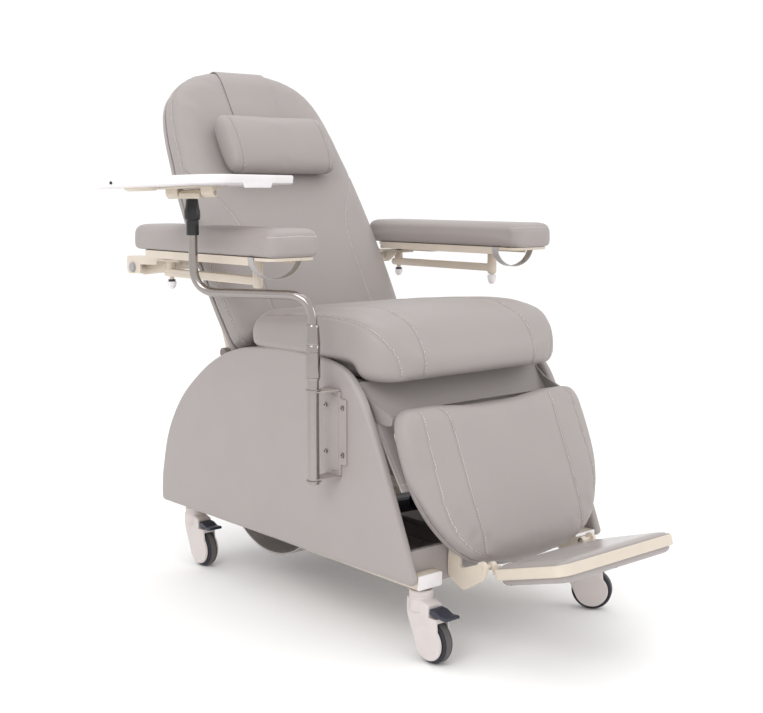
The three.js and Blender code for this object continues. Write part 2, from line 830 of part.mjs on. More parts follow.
// The bent tube: up, across and up again.
function trayTube() {
  const corners = [
    new THREE.Vector3(...TRAY_POST, 560),
    new THREE.Vector3(...TRAY_POST, TRAY_RUN_Z),
    new THREE.Vector3(...TRAY_UPRIGHT, TRAY_RUN_Z),
    new THREE.Vector3(...TRAY_UPRIGHT, 1026),
  ];
  const bend = 50;
  const route = new THREE.CurvePath();
  let from = corners[0];
  for (const i of [1, 2]) {
    const start = corners[i].clone().sub(corners[i - 1]).setLength(-bend).add(corners[i]);
    const end = corners[i + 1].clone().sub(corners[i]).setLength(bend).add(corners[i]);
    route.add(new THREE.LineCurve3(from, start));
    route.add(new THREE.QuadraticBezierCurve3(start, corners[i], end));
    from = end;
  }
  route.add(new THREE.LineCurve3(from, corners[3]));
  const section = new THREE.Shape(circle(0, 0, 10.5, 16));
  return new THREE.ExtrudeGeometry(section, { steps: 48, extrudePath: route, bevelEnabled: false });
}

function trayKnob() {
  const ring = turned(TRAY_UPRIGHT, [
    [0, 930],
    [14.5, 930],
    [14.5, 966],
    [17.5, 968],
    [17.5, 990],
    [13.5, 1012.5],
    [0, 1012.5],
  ]);
  return cut(ring, rod([...TRAY_UPRIGHT, 920], [...TRAY_UPRIGHT, 1020], 10.9));
}

// A point of the tray's own frame: the tilt pin's middle, the long side along X.
const onTray = (geometry) =>
  geometry
    .clone()
    .rotateX(THREE.MathUtils.degToRad(-TRAY_SAG))
    .rotateZ(THREE.MathUtils.degToRad(TRAY_HEADING))
    .translate(...TRAY_UPRIGHT, TRAY_PIN_Z);

// The clamp turns on the upright; its barrel carries the tilt pin.
function trayClamp() {
  const socket = box([-15, 15], [-28, 28], [-9.5, 0])
    .rotateZ(THREE.MathUtils.degToRad(TRAY_HEADING))
    .translate(...TRAY_UPRIGHT, TRAY_PIN_Z);
  const barrel = onTray(rod([0, -28, 0], [0, 28, 0], 10));
  const pin = onTray(rod([0, -61, 0], [0, 61, 0], 5));
  const upright = rod([...TRAY_UPRIGHT, 1000], [...TRAY_UPRIGHT, 1026.6], 10.9);
  return cut(join(socket, barrel, pin), upright);
}

// Two lugs on the tilt pin and the plate that the tray is screwed to.
function trayMount() {
  const parts = [box([-92, 60], [-66, 66], [12.4, 15.4])];
  for (const y of [[-63, -31], [31, 63]]) {
    parts.push(box([-13, 13], y, [-9, 13]));
  }
  const pin = rod([0, -70, 0], [0, 70, 0], 5.4);
  return onTray(cut(join(...parts), pin));
}

// A shallow tray with a raised rim.
function trayTop() {
  const centre = [18, -9];
  const [halfX, halfY] = [205, 147];
  const corners = (inset) =>
    [
      [-halfX, -halfY, 100],
      [halfX, -halfY, 28],
      [halfX, halfY, 28],
      [-halfX, halfY, 28],
    ].map(([x, y, r]) => [
      centre[0] + x - Math.sign(x) * inset,
      centre[1] + y - Math.sign(y) * inset,
      r - inset,
    ]);
  const shell = plate("z", outline(corners(0), 8), [15.7, 37], 4, 2);
  const well = plate("z", outline(corners(7), 8), [21, 50]);
  return onTray(cut(shell, well));
}

function addTray() {
  add("tray_bracket", trayBracket(), "cream");
  add("tray_collar", trayCollar(), "chrome");
  add("tray_tube", trayTube(), "chrome");
  add("tray_knob", trayKnob(), "black");
  add("tray_clamp", trayClamp(), "cream");
  add("tray_mount", trayMount(), "cream");
  add("tray_top", trayTop(), "white");
}

// ---- the casters -------------------------------------------------------------------------

const CASTERS = [
  ["FR", -1, -1, 0],
  ["FL", 1, -1, 33],
  ["RR", -1, 1, 0],
  ["RL", 1, 1, 0],
];

const WHEEL = { back: -42, z: 50, radius: 50, half: 14 };

// A teardrop shell on a ringed neck, hollow round the wheel.
function casterHousing() {
  const side = [
    [27, 159],
    [27, 104, 30],
    [8, 30, 40],
    [-38, 6, 30],
    [-76, 12, 30],
    [-88, 50, 30],
    [-72, 92, 6],
    [-66, 128, 8],
    [-24, 142],
    [-24, 159],
  ];
  const shell = plate("x", outline(side), [-20, 20], 4, 1);
  const neck = turned([0, 0], [
    [0, 112],
    [27, 112],
    [27, 140],
    [25, 142],
    [27, 144],
    [27, 159.7],
    [0, 159.7],
  ]);
  const arch = rod([-15.3, WHEEL.back, WHEEL.z], [15.3, WHEEL.back, WHEEL.z], 53, 53, 36);
  const mouth = box([-15.3, 15.3], [-130, WHEEL.back], [-10, 96]);
  const axle = rod([-16, WHEEL.back, WHEEL.z], [16, WHEEL.back, WHEEL.z], 5);
  const slot = box([-25, 25], [-120, -46], [107, 150]);
  return join(cut(join(shell, neck), arch, mouth, slot), axle);
}

function casterWheel() {
  const tyre = rod([-14, 0, 0], [14, 0, 0], WHEEL.radius, WHEEL.radius, 40);
  const wheel = cut(tyre, rod([-20, 0, 0], [20, 0, 0], 5.5));
  return wheel.translate(0, WHEEL.back, WHEEL.z);
}

function casterPedal() {
  const profile = [
    [-48, 113],
    [-48, 127],
    [-80, 121],
    [-105, 120, 4],
    [-107, 112, 4],
    [-82, 110],
    [-70, 113],
  ];
  return plate("x", outline(profile), [-19, 19], 1, 1);
}

function addCasters() {
  for (const [tag, sideX, sideY, swivel] of CASTERS) {
    const pieces = [
      ["housing", casterHousing(), "plastic"],
      ["wheel", casterWheel(), "tyre"],
      ["pedal", casterPedal(), "black"],
    ];
    for (const [part, geometry, finish] of pieces) {
      const turnedGeometry = geometry
        .rotateZ(THREE.MathUtils.degToRad(swivel))
        .translate(sideX * CASTER_X, sideY * CASTER_Y, 0);
      add("caster_" + part + "_" + tag, turnedGeometry, finish);
    }
  }
}

addBase();
addBack();
addArms();
addLegrest();
addTray();
addCasters();

export default chair;
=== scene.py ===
import math

import bmesh
import bpy
from mathutils import Euler, Matrix, Vector
from mathutils.bvhtree import BVHTree


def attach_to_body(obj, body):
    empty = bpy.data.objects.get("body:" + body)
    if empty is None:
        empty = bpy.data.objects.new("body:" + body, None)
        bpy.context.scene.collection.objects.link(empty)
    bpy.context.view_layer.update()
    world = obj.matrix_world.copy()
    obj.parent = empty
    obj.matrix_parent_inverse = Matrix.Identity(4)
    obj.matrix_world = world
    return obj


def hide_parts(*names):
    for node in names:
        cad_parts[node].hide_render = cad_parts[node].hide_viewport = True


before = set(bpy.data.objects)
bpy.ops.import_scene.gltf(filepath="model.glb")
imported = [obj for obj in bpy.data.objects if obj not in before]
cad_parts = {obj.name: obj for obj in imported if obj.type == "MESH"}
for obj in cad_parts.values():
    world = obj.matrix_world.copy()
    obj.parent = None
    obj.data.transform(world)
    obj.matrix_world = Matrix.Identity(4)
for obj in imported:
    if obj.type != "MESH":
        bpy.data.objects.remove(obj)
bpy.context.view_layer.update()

# ---- places shared with the CAD, in metres -------------------------------------------------

RECENTRE = Vector((0.1412, 0.0683, 0.0))


def tilted(origin, degrees):
    """The frame of a group that leans about the chair's left-right axis."""
    place = Matrix.Translation(RECENTRE + Vector(origin))
    return place @ Matrix.Rotation(math.radians(degrees), 4, "X")


CHAIR = Matrix.Translation(RECENTRE)
BACK = tilted((0, 0.204, 0.705), -31)
LEGREST = tilted((0, -0.446, 0.557), -22.9)
FOOTREST = tilted((0, -0.580, 0.215), -17)
TRAY_STEM = (-0.525, 0.024)
TRAY_LEVEL = (
    Matrix.Translation(RECENTRE + Vector((*TRAY_STEM, 1.024)))
    @ Matrix.Rotation(math.radians(25.5), 4, "Z")
)
TRAY = TRAY_LEVEL @ Matrix.Rotation(math.radians(-2.3), 4, "X")

# Axes that cross the chair: the first two as (Y, Z) in the chair's frame, the last two as the
# ends of the leg rest's hinge in the leg rest's own frame.
SEAT_HINGE = (-0.392, 0.528)
RECLINE_AXIS = (0.288, 0.599)
LEG_HINGE_LEFT = (-0.32, 0.061, -0.0057)
LEG_HINGE_RIGHT = (0.32, 0.061, -0.0057)

ARM_X = 0.392
TRAY_POST = (-0.380, -0.237)

# ---- node materials ------------------------------------------------------------------------


def new_material(name, colour, roughness, metallic=0.0):
    """A Principled material with its node tree ready for a colour and a bump to be wired in."""
    mat = bpy.data.materials.new(name)
    mat.use_nodes = True
    shader = mat.node_tree.nodes["Principled BSDF"]
    shader.inputs["Base Color"].default_value = (*colour, 1)
    shader.inputs["Roughness"].default_value = roughness
    shader.inputs["Metallic"].default_value = metallic
    mat.diffuse_color = (*colour, 1)
    return mat, mat.node_tree, shader


def texture(tree, kind, scale, **settings):
    """A procedural texture in object coordinates."""
    node = tree.nodes.new(kind)
    node.inputs["Scale"].default_value = scale
    for key, value in settings.items():
        node.inputs[key].default_value = value
    coords = tree.nodes.new("ShaderNodeTexCoord")
    tree.links.new(coords.outputs["Object"], node.inputs["Vector"])
    return node


def vary_colour(tree, shader, source, low, high):
    ramp = tree.nodes.new("ShaderNodeValToRGB")
    ramp.color_ramp.elements[0].position = 0.3
    ramp.color_ramp.elements[1].position = 0.7
    ramp.color_ramp.elements[0].color = (*low, 1)
    ramp.color_ramp.elements[1].color = (*high, 1)
    tree.links.new(source, ramp.inputs["Fac"])
    tree.links.new(ramp.outputs["Color"], shader.inputs["Base Color"])


def vary_roughness(tree, shader, source, low, high):
    spread = tree.nodes.new("ShaderNodeMapRange")
    spread.inputs["To Min"].default_value = low
    spread.inputs["To Max"].default_value = high
    tree.links.new(source, spread.inputs["Value"])
    tree.links.new(spread.outputs["Result"], shader.inputs["Roughness"])


def add_bump(tree, shader, source, strength, distance):
    bump = tree.nodes.new("ShaderNodeBump")
    bump.inputs["Strength"].default_value = strength
    bump.inputs["Distance"].default_value = distance
    tree.links.new(source, bump.inputs["Height"])
    tree.links.new(bump.outputs["Normal"], shader.inputs["Normal"])
    return bump


def shade(colour, factor):
    return tuple(channel * factor for channel in colour)


def vinyl(name, colour, roughness=0.5):
    """Soft upholstery vinyl: pebbled grain, slight blotches in colour and gloss."""
    mat, tree, shader = new_material(name, colour, roughness)
    blotch = texture(tree, "ShaderNodeTexNoise", 9, Detail=4.0)
    grain = texture(tree, "ShaderNodeTexVoronoi", 750)
    vary_colour(tree, shader, blotch.outputs["Fac"], shade(colour, 0.975), shade(colour, 1.02))
    vary_roughness(tree, shader, blotch.outputs["Fac"], roughness - 0.06, roughness + 0.08)
    add_bump(tree, shader, grain.outputs["Distance"], 0.25, 0.00025)
    shader.inputs["Sheen Weight"].default_value = 0.06
    shader.inputs["Sheen Roughness"].default_value = 0.5
    return mat


def painted(name, colour, roughness, grain=260, strength=0.12):
    """Powder coat or moulded plastic: a fine orange peel and a little unevenness in gloss."""
    mat, tree, shader = new_material(name, colour, roughness)
    peel = texture(tree, "ShaderNodeTexNoise", grain, Detail=3.0)
    cloud = texture(tree, "ShaderNodeTexNoise", 14, Detail=3.0)
    vary_colour(tree, shader, cloud.outputs["Fac"], shade(colour, 0.96), shade(colour, 1.03))
    vary_roughness(tree, shader, cloud.outputs["Fac"], roughness - 0.05, roughness + 0.08)
    add_bump(tree, shader, peel.outputs["Fac"], strength, 0.0003)
    return mat


def polished(name, colour, roughness):
    """Polished steel with faint draw lines and cloudy fingermarks in its gloss."""
    mat, tree, shader = new_material(name, colour, roughness, 1.0)
    cloud = texture(tree, "ShaderNodeTexNoise", 30, Detail=5.0)
    lines = texture(tree, "ShaderNodeTexNoise", 900, Detail=2.0)
    vary_roughness(tree, shader, cloud.outputs["Fac"], roughness * 0.7, roughness * 1.5)
    vary_colour(tree, shader, cloud.outputs["Fac"], shade(colour, 0.94), colour)
    add_bump(tree, shader, lines.outputs["Fac"], 0.05, 0.0001)
    return mat


MATS = {
    "upholstery": vinyl("upholstery_vinyl", (0.330, 0.296, 0.285), 0.48),
    "panel": vinyl("panel_vinyl", (0.349, 0.313, 0.303), 0.46),
    "glossy": vinyl("footrest_vinyl", (0.345, 0.311, 0.300), 0.20),
    "webbing": painted("strap_webbing", (0.42, 0.40, 0.395), 0.5, 900, 0.35),
    "bracket": painted("bracket_metal", (0.36, 0.32, 0.305), 0.36, 500, 0.08),
    # A darker copy of the panel vinyl, painted shade: parts under the seat in it read as shadow.
    "painted_shade": vinyl("lining_vinyl", (0.26, 0.235, 0.226), 0.6),
    "cream": painted("cream_powder_coat", (0.64, 0.565, 0.475), 0.38),
    "white": painted("tray_white", (0.79, 0.755, 0.765), 0.30, 420, 0.06),
    "plastic": painted("caster_shell", (0.625, 0.570, 0.555), 0.4, 500, 0.08),
    "black": painted("dark_plastic", (0.022, 0.024, 0.042), 0.38, 700, 0.15),
    "knob": painted("knob_plastic", (0.009, 0.009, 0.010), 0.28, 500, 0.1),
    "tyre": painted("tyre_rubber", (0.018, 0.018, 0.026), 0.6, 300, 0.25),
    "tread": painted("tread_rubber", (0.11, 0.10, 0.10), 0.75, 300, 0.3),
    # Dark brown, painted shade: it stands for the dim, enclosed inside of the base.
    "brown": painted("base_lining", (0.26, 0.225, 0.215), 0.8, 120, 0.4),
    # The steel's base colour is set dark and brownish to stand for the dark surroundings that the chrome
    # reflects: painted reflection.
    "steel": polished("polished_steel", (0.35, 0.32, 0.305), 0.13),
    "thread": painted("stitch_thread", (0.66, 0.62, 0.60), 0.7, 900, 0.3),
    "grey": painted("grey_plug", (0.33, 0.33, 0.34), 0.5, 500, 0.1),
}

# ---- building pieces -----------------------------------------------------------------------


def piece(name, verts, faces, finish, place=CHAIR, smooth=True):
    """A mesh object from local points, with one finish; it still has to ride on a body."""
    mesh = bpy.data.meshes.new(name)
    mesh.from_pydata([place @ Vector(v) for v in verts], [], faces)
    mesh.validate()
    mesh.materials.append(MATS[finish])
    obj = bpy.data.objects.new(name, mesh)
    bpy.context.scene.collection.objects.link(obj)
    rebuild = bmesh.new()
    rebuild.from_mesh(mesh)
    bmesh.ops.remove_doubles(rebuild, verts=rebuild.verts, dist=1e-6)
    bmesh.ops.recalc_face_normals(rebuild, faces=rebuild.faces)
    rebuild.to_mesh(mesh)
    rebuild.free()
    if smooth:
        smooth_shade(obj)
    return obj


def smooth_shade(obj, degrees=35):
    """Smooth shading with sharp edges kept where faces meet at a clear angle."""
    mesh = obj.data
    mesh.shade_smooth()
    edit = bmesh.new()
    edit.from_mesh(mesh)
    for edge in edit.edges:
        if len(edge.link_faces) == 2:
            edge.smooth = edge.calc_face_angle(0) < math.radians(degrees)
    edit.to_mesh(mesh)
    edit.free()


def attach(obj, body, *nodes):
    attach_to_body(obj, body)
    if nodes:
        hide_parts(*nodes)
    return obj


def merged(name, objects):
    """Several objects joined into one, each keeping its own material."""
    bpy.ops.object.select_all(action="DESELECT")
    for obj in objects:
        obj.select_set(True)
    bpy.context.view_layer.objects.active = objects[0]
    bpy.ops.object.join()
    objects[0].name = name
    return objects[0]


def rounded(corners, steps=6):
    """An outline from corners (u, v, radius); a corner without a radius stays sharp."""
    points = []
    for i, corner in enumerate(corners):
        here = Vector(corner[:2])
        radius = corner[2] if len(corner) > 2 else 0
        if not radius:
            points.append(here)
            continue
        back = (Vector(corners[i - 1][:2]) - here).normalized()
        on = (Vector(corners[(i + 1) % len(corners)][:2]) - here).normalized()
        half = math.acos(max(-1, min(1, back.dot(on)))) / 2
        centre = here + (back + on).normalized() * radius / math.sin(half)
        first = here + back * radius / math.tan(half) - centre
        last = here + on * radius / math.tan(half) - centre
        sweep = math.atan2(first.cross(last), first.dot(last))
        for k in range(steps + 1):
            turn = Matrix.Rotation(sweep * k / steps, 2)
            points.append(centre + turn @ first)
    return points


def inset(points, distance):
    """An outline moved inwards along its own normals; the outline runs anticlockwise."""
    moved = []
    count = len(points)
    for i, here in enumerate(points):
        before = (here - points[i - 1]).normalized()
        after = (points[(i + 1) % count] - here).normalized()
        normal = Vector((-(before + after).y, (before + after).x)).normalized()
        spread = max(0.5, normal.dot(Vector((-after.y, after.x))))
        moved.append(here + normal * distance / spread)
    return moved


def flat(*pairs):
    """An outline of plain points, all of its corners sharp."""
    return [Vector(pair) for pair in pairs]


def rectangle(u_low, u_high, v_low, v_high, radius, steps=6):
    """A rectangular outline with rounded corners."""
    corners = ((u_low, v_low), (u_high, v_low), (u_high, v_high), (u_low, v_high))
    return rounded([(u, v, radius) for u, v in corners], steps)


def mirrored(side, low, high):
    """A span on the left (side 1), or its mirror image on the right (side -1), low end first."""
    return sorted((side * low, side * high))


def ring_faces(rings, count):
    """Faces that join each ring of points to the next, with a cap on the first and the last."""
    faces = [list(range(count)), list(range(count * (rings - 1), count * rings))]
    for ring in range(rings - 1):
        a, b = ring * count, (ring + 1) * count
        for i in range(count):
            j = (i + 1) % count
            faces.append([a + i, a + j, b + j, b + i])
    return faces


def anticlockwise(points):
    area = sum(points[i - 1].cross(points[i]) for i in range(len(points)))
    return points if area > 0 else points[::-1]


def to_axis(axis, u, v, depth):
    """An outline point and a depth as a 3D point, for a plate that is thick along that axis."""
    return {"x": (depth, u, v), "y": (u, depth, v), "z": (u, v, depth)}[axis]


def slab(name, axis, points, low, high, radius, finish, place=CHAIR, steps=4):
    """A plate with rounded rims: rings of the outline stepped round the edge at each side.

    The radius is one number, or (pull, depth) for the low side and then for the high side.
    """
    points = anticlockwise(points)
    rims = radius if isinstance(radius, tuple) else ((radius, radius), (radius, radius))
    rings = []
    for side, level, (pull_in, depth_in) in ((1, low, rims[0]), (-1, high, rims[1])):
        arc = []
        for k in range(steps + 1):
            angle = math.pi / 2 * k / steps
            pull = pull_in * (1 - math.sin(angle))
            depth = level + side * depth_in * (1 - math.cos(angle))
            arc.append((pull, depth))
        rings += arc if side > 0 else arc[::-1]
    verts = []
    for pull, depth in rings:
        verts += [to_axis(axis, p.x, p.y, depth) for p in inset(points, pull)]
    return piece(name, verts, ring_faces(len(rings), len(points)), finish, place)


def lathe(name, profile, centre, finish, place=CHAIR, axis="z", sides=48):
    """A turned piece: profile [radius, height] from end to end, about a line through the centre."""
    verts = []
    for radius, height in profile:
        for k in range(sides):
            angle = 2 * math.pi * k / sides
            reach = max(radius, 1e-5)
            local = to_axis(axis, reach * math.cos(angle), reach * math.sin(angle), height)
            verts.append(Vector(centre) + Vector(local))
    return piece(name, verts, ring_faces(len(profile), sides), finish, place)


def bent(points, bend, steps=8):
    """A route through the points with its inner corners turned at the bend radius."""
    points = [Vector(p) for p in points]
    route = [points[0]]
    for i in range(1, len(points) - 1):
        start = points[i] + (points[i - 1] - points[i]).normalized() * bend
        end = points[i] + (points[i + 1] - points[i]).normalized() * bend
        for k in range(steps + 1):
            t = k / steps
            route.append(start * (1 - t) ** 2 + points[i] * 2 * t * (1 - t) + end * t ** 2)
    return route + [points[-1]]


def tube(name, route, radius, finish, place=CHAIR, sides=24):
    """A round bar swept along a route, closed at both ends."""
    route = [Vector(p) for p in route]
    verts = []
    side = (route[1] - route[0]).orthogonal().normalized()
    for i, point in enumerate(route):
        along = (route[min(i + 1, len(route) - 1)] - route[max(i - 1, 0)]).normalized()
        side = (side - along * side.dot(along)).normalized()
        up = along.cross(side)
        for k in range(sides):
            angle = 2 * math.pi * k / sides
            verts.append(point + (side * math.cos(angle) + up * math.sin(angle)) * radius)
    return piece(name, verts, ring_faces(len(route), sides), finish, place)


def carve(obj, *tools):
    """Cuts the tools out of the object and removes them."""
    for tool in tools:
        cutter = obj.modifiers.new("cut", "BOOLEAN")
        cutter.operation = "DIFFERENCE"
        cutter.solver = "EXACT"
        cutter.object = tool
        bpy.context.view_layer.objects.active = obj
        bpy.ops.object.modifier_apply(modifier=cutter.name)
        bpy.data.objects.remove(tool)
    smooth_shade(obj)
    return obj


# ---- padded pieces -------------------------------------------------------------------------


def apply_modifier(obj, modifier):
    bpy.context.view_layer.objects.active = obj
    bpy.ops.object.modifier_apply(modifier=modifier.name)


def remesh(obj, size):
    modifier = obj.modifiers.new("remesh", "REMESH")
    modifier.mode = "VOXEL"
    modifier.voxel_size = size
    apply_modifier(obj, modifier)
    relax(obj, 6)


def inflate(obj, pressure, cap, held):
    """Blows the skin up like foam under vinyl; points for which held() is true stay put."""
    scene = bpy.context.scene
    group = obj.vertex_groups.new(name="held")
    group.add([v.index for v in obj.data.vertices if held(v.co)], 1.0, "REPLACE")
    start = [v.co.copy() for v in obj.data.vertices]
    cloth = obj.modifiers.new("cloth", "CLOTH")
    cloth.settings.use_pressure = True
    cloth.settings.uniform_pressure_force = pressure
    cloth.settings.vertex_group_mass = "held"
    cloth.settings.effector_weights.gravity = 0
    cloth.settings.quality = 4
    cloth.settings.tension_stiffness = 30
    cloth.settings.compression_stiffness = 30
    cloth.settings.bending_stiffness = 4
    cloth.point_cache.frame_end = 16
    for number in range(1, 17):
        scene.frame_set(number)
    swollen = obj.evaluated_get(bpy.context.evaluated_depsgraph_get())
    ends = [v.co.copy() for v in swollen.data.vertices]
    obj.modifiers.remove(cloth)
    obj.vertex_groups.remove(group)
    scene.frame_set(1)
    for vertex, first, last in zip(obj.data.vertices, start, ends):
        step = last - first
        if step.length > cap:
            step *= cap / step.length
        vertex.co = first + step


def relax(obj, rounds):
    modifier = obj.modifiers.new("relax", "SMOOTH")
    modifier.factor = 0.5
    modifier.iterations = rounds
    apply_modifier(obj, modifier)


def subdivide(obj, levels):
    modifier = obj.modifiers.new("subdivide", "SUBSURF")
    modifier.levels = levels
    modifier.render_levels = levels
    apply_modifier(obj, modifier)


def reshape(obj, place, move):
    """Moves each point by a rule given in the piece's own frame."""
    back = place.inverted()
    for vertex in obj.data.vertices:
        vertex.co = place @ move(back @ vertex.co)


def pad(obj, node, body, place, voxel, cap, held, move=None, levels=2):
    """A cushion from a rounded block: remeshed, blown up under its skin, shaped and subdivided."""
    remesh(obj, voxel)
    inflate(obj, 3.0, cap, in_frame(place, held))
    relax(obj, 4)
    if move:
        reshape(obj, place, move)
    subdivide(obj, levels)
    obj.data.shade_smooth()
    attach(obj, body, node)
    return obj


def in_frame(place, test):
    """A test on local coordinates, usable on points of the chair's frame."""
    back = place.inverted()
    return lambda point: test(back @ point)


def ease(value, low, high):
    """A smooth step from 0 at the low value to 1 at the high one."""
    t = max(0.0, min(1.0, (value - low) / (high - low)))
    return t * t * (3 - 2 * t)


def hump(value, middle, width):
    return math.exp(-(((value - middle) / width) ** 2))


def surface_of(obj):
    mesh = obj.data
    return BVHTree.FromPolygons([v.co for v in mesh.vertices], [p.vertices for p in mesh.polygons])


def spaced(points, step, closed=False):
    """The polyline resampled at an even spacing."""
    points = [Vector(p) for p in points]
    if closed:
        points.append(points[0])
    out = [points[0]]
    left = step
    for a, b in zip(points, points[1:]):
        length = (b - a).length
        travelled = left
        while travelled <= length:
            out.append(a.lerp(b, travelled / length))
            travelled += step
        left = travelled - length
    return out


def on_surface(tree, points):
    """Each point dropped to the nearest place on the skin, with the skin's normal there."""
    found = []
    for point in points:
        place, normal, _index, _distance = tree.find_nearest(point)
        found.append((place, normal))
    return found


def press_seams(obj, lines, width=0.0035, depth=0.003):
    """Draws the skin in along each line, which lies on or near it; thin slivers mark the lines."""
    sliver = Vector((0, 0, 1e-5))
    corners = []
    for line in lines:
        for start, end in zip(line, line[1:]):
            corners += [start, end, end + sliver]
    triangles = [(i, i + 1, i + 2) for i in range(0, len(corners), 3)]
    from_lines = BVHTree.FromPolygons(corners, triangles)
    normals = [v.normal.copy() for v in obj.data.vertices]
    for vertex, normal in zip(obj.data.vertices, normals):
        _place, _normal, _index, distance = from_lines.find_nearest(vertex.co, width * 4)
        if distance is not None:
            vertex.co -= normal * depth * math.exp(-((distance / width) ** 2))


def stitches(name, tree, line, body, offset, length=0.0045, pitch=0.0065, width=0.0006):
    """A row of short raised threads beside a seam."""
    marks = on_surface(tree, spaced(line, pitch))
    verts = []
    faces = []
    for i in range(len(marks) - 1):
        place, normal = marks[i]
        along = marks[i + 1][0] - place
        if along.length < 1e-6:
            continue
        along.normalize()
        across = normal.cross(along).normalized()
        middle = place + across * offset
        middle, normal, _index, _distance = tree.find_nearest(middle)
        base = len(verts)
        for step, lift in ((-0.5, 0.0), (-0.3, 0.9), (0.3, 0.9), (0.5, 0.0)):
            for side in (-1, 1):
                verts.append(middle + along * step * length + across * side * width + normal * lift * width)
        for k in (0, 2, 4):
            faces.append([base + k, base + k + 1, base + k + 3, base + k + 2])
    thread = piece(name, verts, faces, "thread", Matrix.Identity(4))
    attach(thread, body)
    return thread


def sew(obj, body, lines, place, offsets=(0.003,), width=0.0035, depth=0.003):
    """Presses seams into a pad along local lines and runs stitching beside them."""
    tree = surface_of(obj)
    laid = []
    for line in lines:
        points = spaced([place @ Vector(p) for p in line], 0.004)
        laid.append([found[0] for found in on_surface(tree, points)])
    press_seams(obj, laid, width, depth)
    tree = surface_of(obj)
    for number, line in enumerate(laid):
        for offset in offsets:
            label = f"{obj.name}_stitch_{number}_{'a' if offset > 0 else 'b'}"
            stitches(label, tree, line, body, offset)


def both_sides(line):
    """A local line and its mirror image across the chair's mid-plane."""
    return [line, [(-x, y, z) for x, y, z in line]]


def smooth_line(points, steps=8):
    """A curve through the points."""
    points = [Vector(p) for p in points]
    out = []
    for i in range(len(points) - 1):
        a = points[max(i - 1, 0)]
        b, c = points[i], points[i + 1]
        d = points[min(i + 2, len(points) - 1)]
        for k in range(steps):
            t = k / steps
            out.append(
                0.5 * ((2 * b) + (c - a) * t + (2 * a - 5 * b + 4 * c - d) * t ** 2
                + (3 * b - a - 3 * c + d) * t ** 3)
            )
    return [tuple(p) for p in out + [points[-1]]]


# ---- upholstery ----------------------------------------------------------------------------

# Half-widths against the distance up the back, and down the leg rest.
BACK_HALF = [
    (-0.066, 0.262), (-0.045, 0.281), (0.000, 0.288), (0.060, 0.293), (0.150, 0.297), (0.250, 0.297),
    (0.340, 0.294), (0.430, 0.290), (0.500, 0.282), (0.570, 0.274), (0.630, 0.263), (0.680, 0.247),
    (0.722, 0.221), (0.754, 0.182), (0.774, 0.135), (0.784, 0.085), (0.788, 0.040),
]
LEGREST_HALF = [
    (-0.012, 0.258), (-0.004, 0.278), (0.018, 0.293), (0.070, 0.300), (0.130, 0.300), (0.180, 0.294),
    (0.230, 0.278), (0.275, 0.254), (0.315, 0.222), (0.342, 0.187), (0.360, 0.145), (0.370, 0.095),
    (0.374, 0.040),
]


def full_outline(half_widths, sign, inwards=0.0):
    """A symmetric smooth outline from (distance, half-width) pairs."""
    side = smooth_line([(half - inwards, sign * along, 0) for along, half in half_widths], 4)
    points = [Vector((x, y)) for x, y, _z in side]
    return points + [Vector((-p.x, p.y)) for p in points[::-1]]


def closed_curve(points, steps=6):
    """A smooth closed outline through the points."""
    count = len(points)
    loop = [(*points[i % count], 0) for i in range(-1, count + 2)]
    curve = smooth_line(loop, steps)[steps:-steps - 1]
    return [Vector(p[:2]) for p in curve]


def back_cushion():
    """The back's pad with its two long seams and the seam round its rim."""
    def shaped(p):
        crown = 0.006 * (1 - (p.x / 0.30) ** 2)
        panels = 0.004 * hump(abs(p.x), 0.235, 0.045) * (1 - ease(p.z, 0.34, 0.46))
        front = 1 - ease(p.y, 0.02, 0.06)
        return Vector((p.x, p.y - (crown + panels) * front, p.z))

    block = slab("back_cushion_skin", "y", full_outline(BACK_HALF, 1), 0.003, 0.0725,
                 ((0.034, 0.030), (0.014, 0.022)), "upholstery", BACK, 8)
    obj = pad(block, "back_cushion", "back", BACK, 0.010, 0.004, lambda p: p.y > 0.055, shaped)
    inner = [(0.170, 0.000, -0.05), (0.170, 0.000, 0.11), (0.172, 0.0, 0.20), (0.184, 0.0, 0.28),
             (0.220, 0.000, 0.35), (0.270, 0.004, 0.425), (0.290, 0.02, 0.455)]
    rim = smooth_line([(half - 0.004, 0.026, along) for along, half in BACK_HALF], 3)
    sew(obj, "back", both_sides(smooth_line(inner)) + both_sides(rim), BACK)
    return obj


SEAT_SECTION = [
    (0.118, 0.655), (0.124, 0.695), (0.098, 0.725), (0.030, 0.738), (-0.067, 0.747), (-0.180, 0.7545),
    (-0.265, 0.754), (-0.322, 0.742), (-0.362, 0.715), (-0.386, 0.680), (-0.393, 0.645), (-0.388, 0.618),
    (-0.368, 0.6055), (-0.320, 0.6025), (-0.150, 0.6025), (0.040, 0.6025), (0.100, 0.612),
]


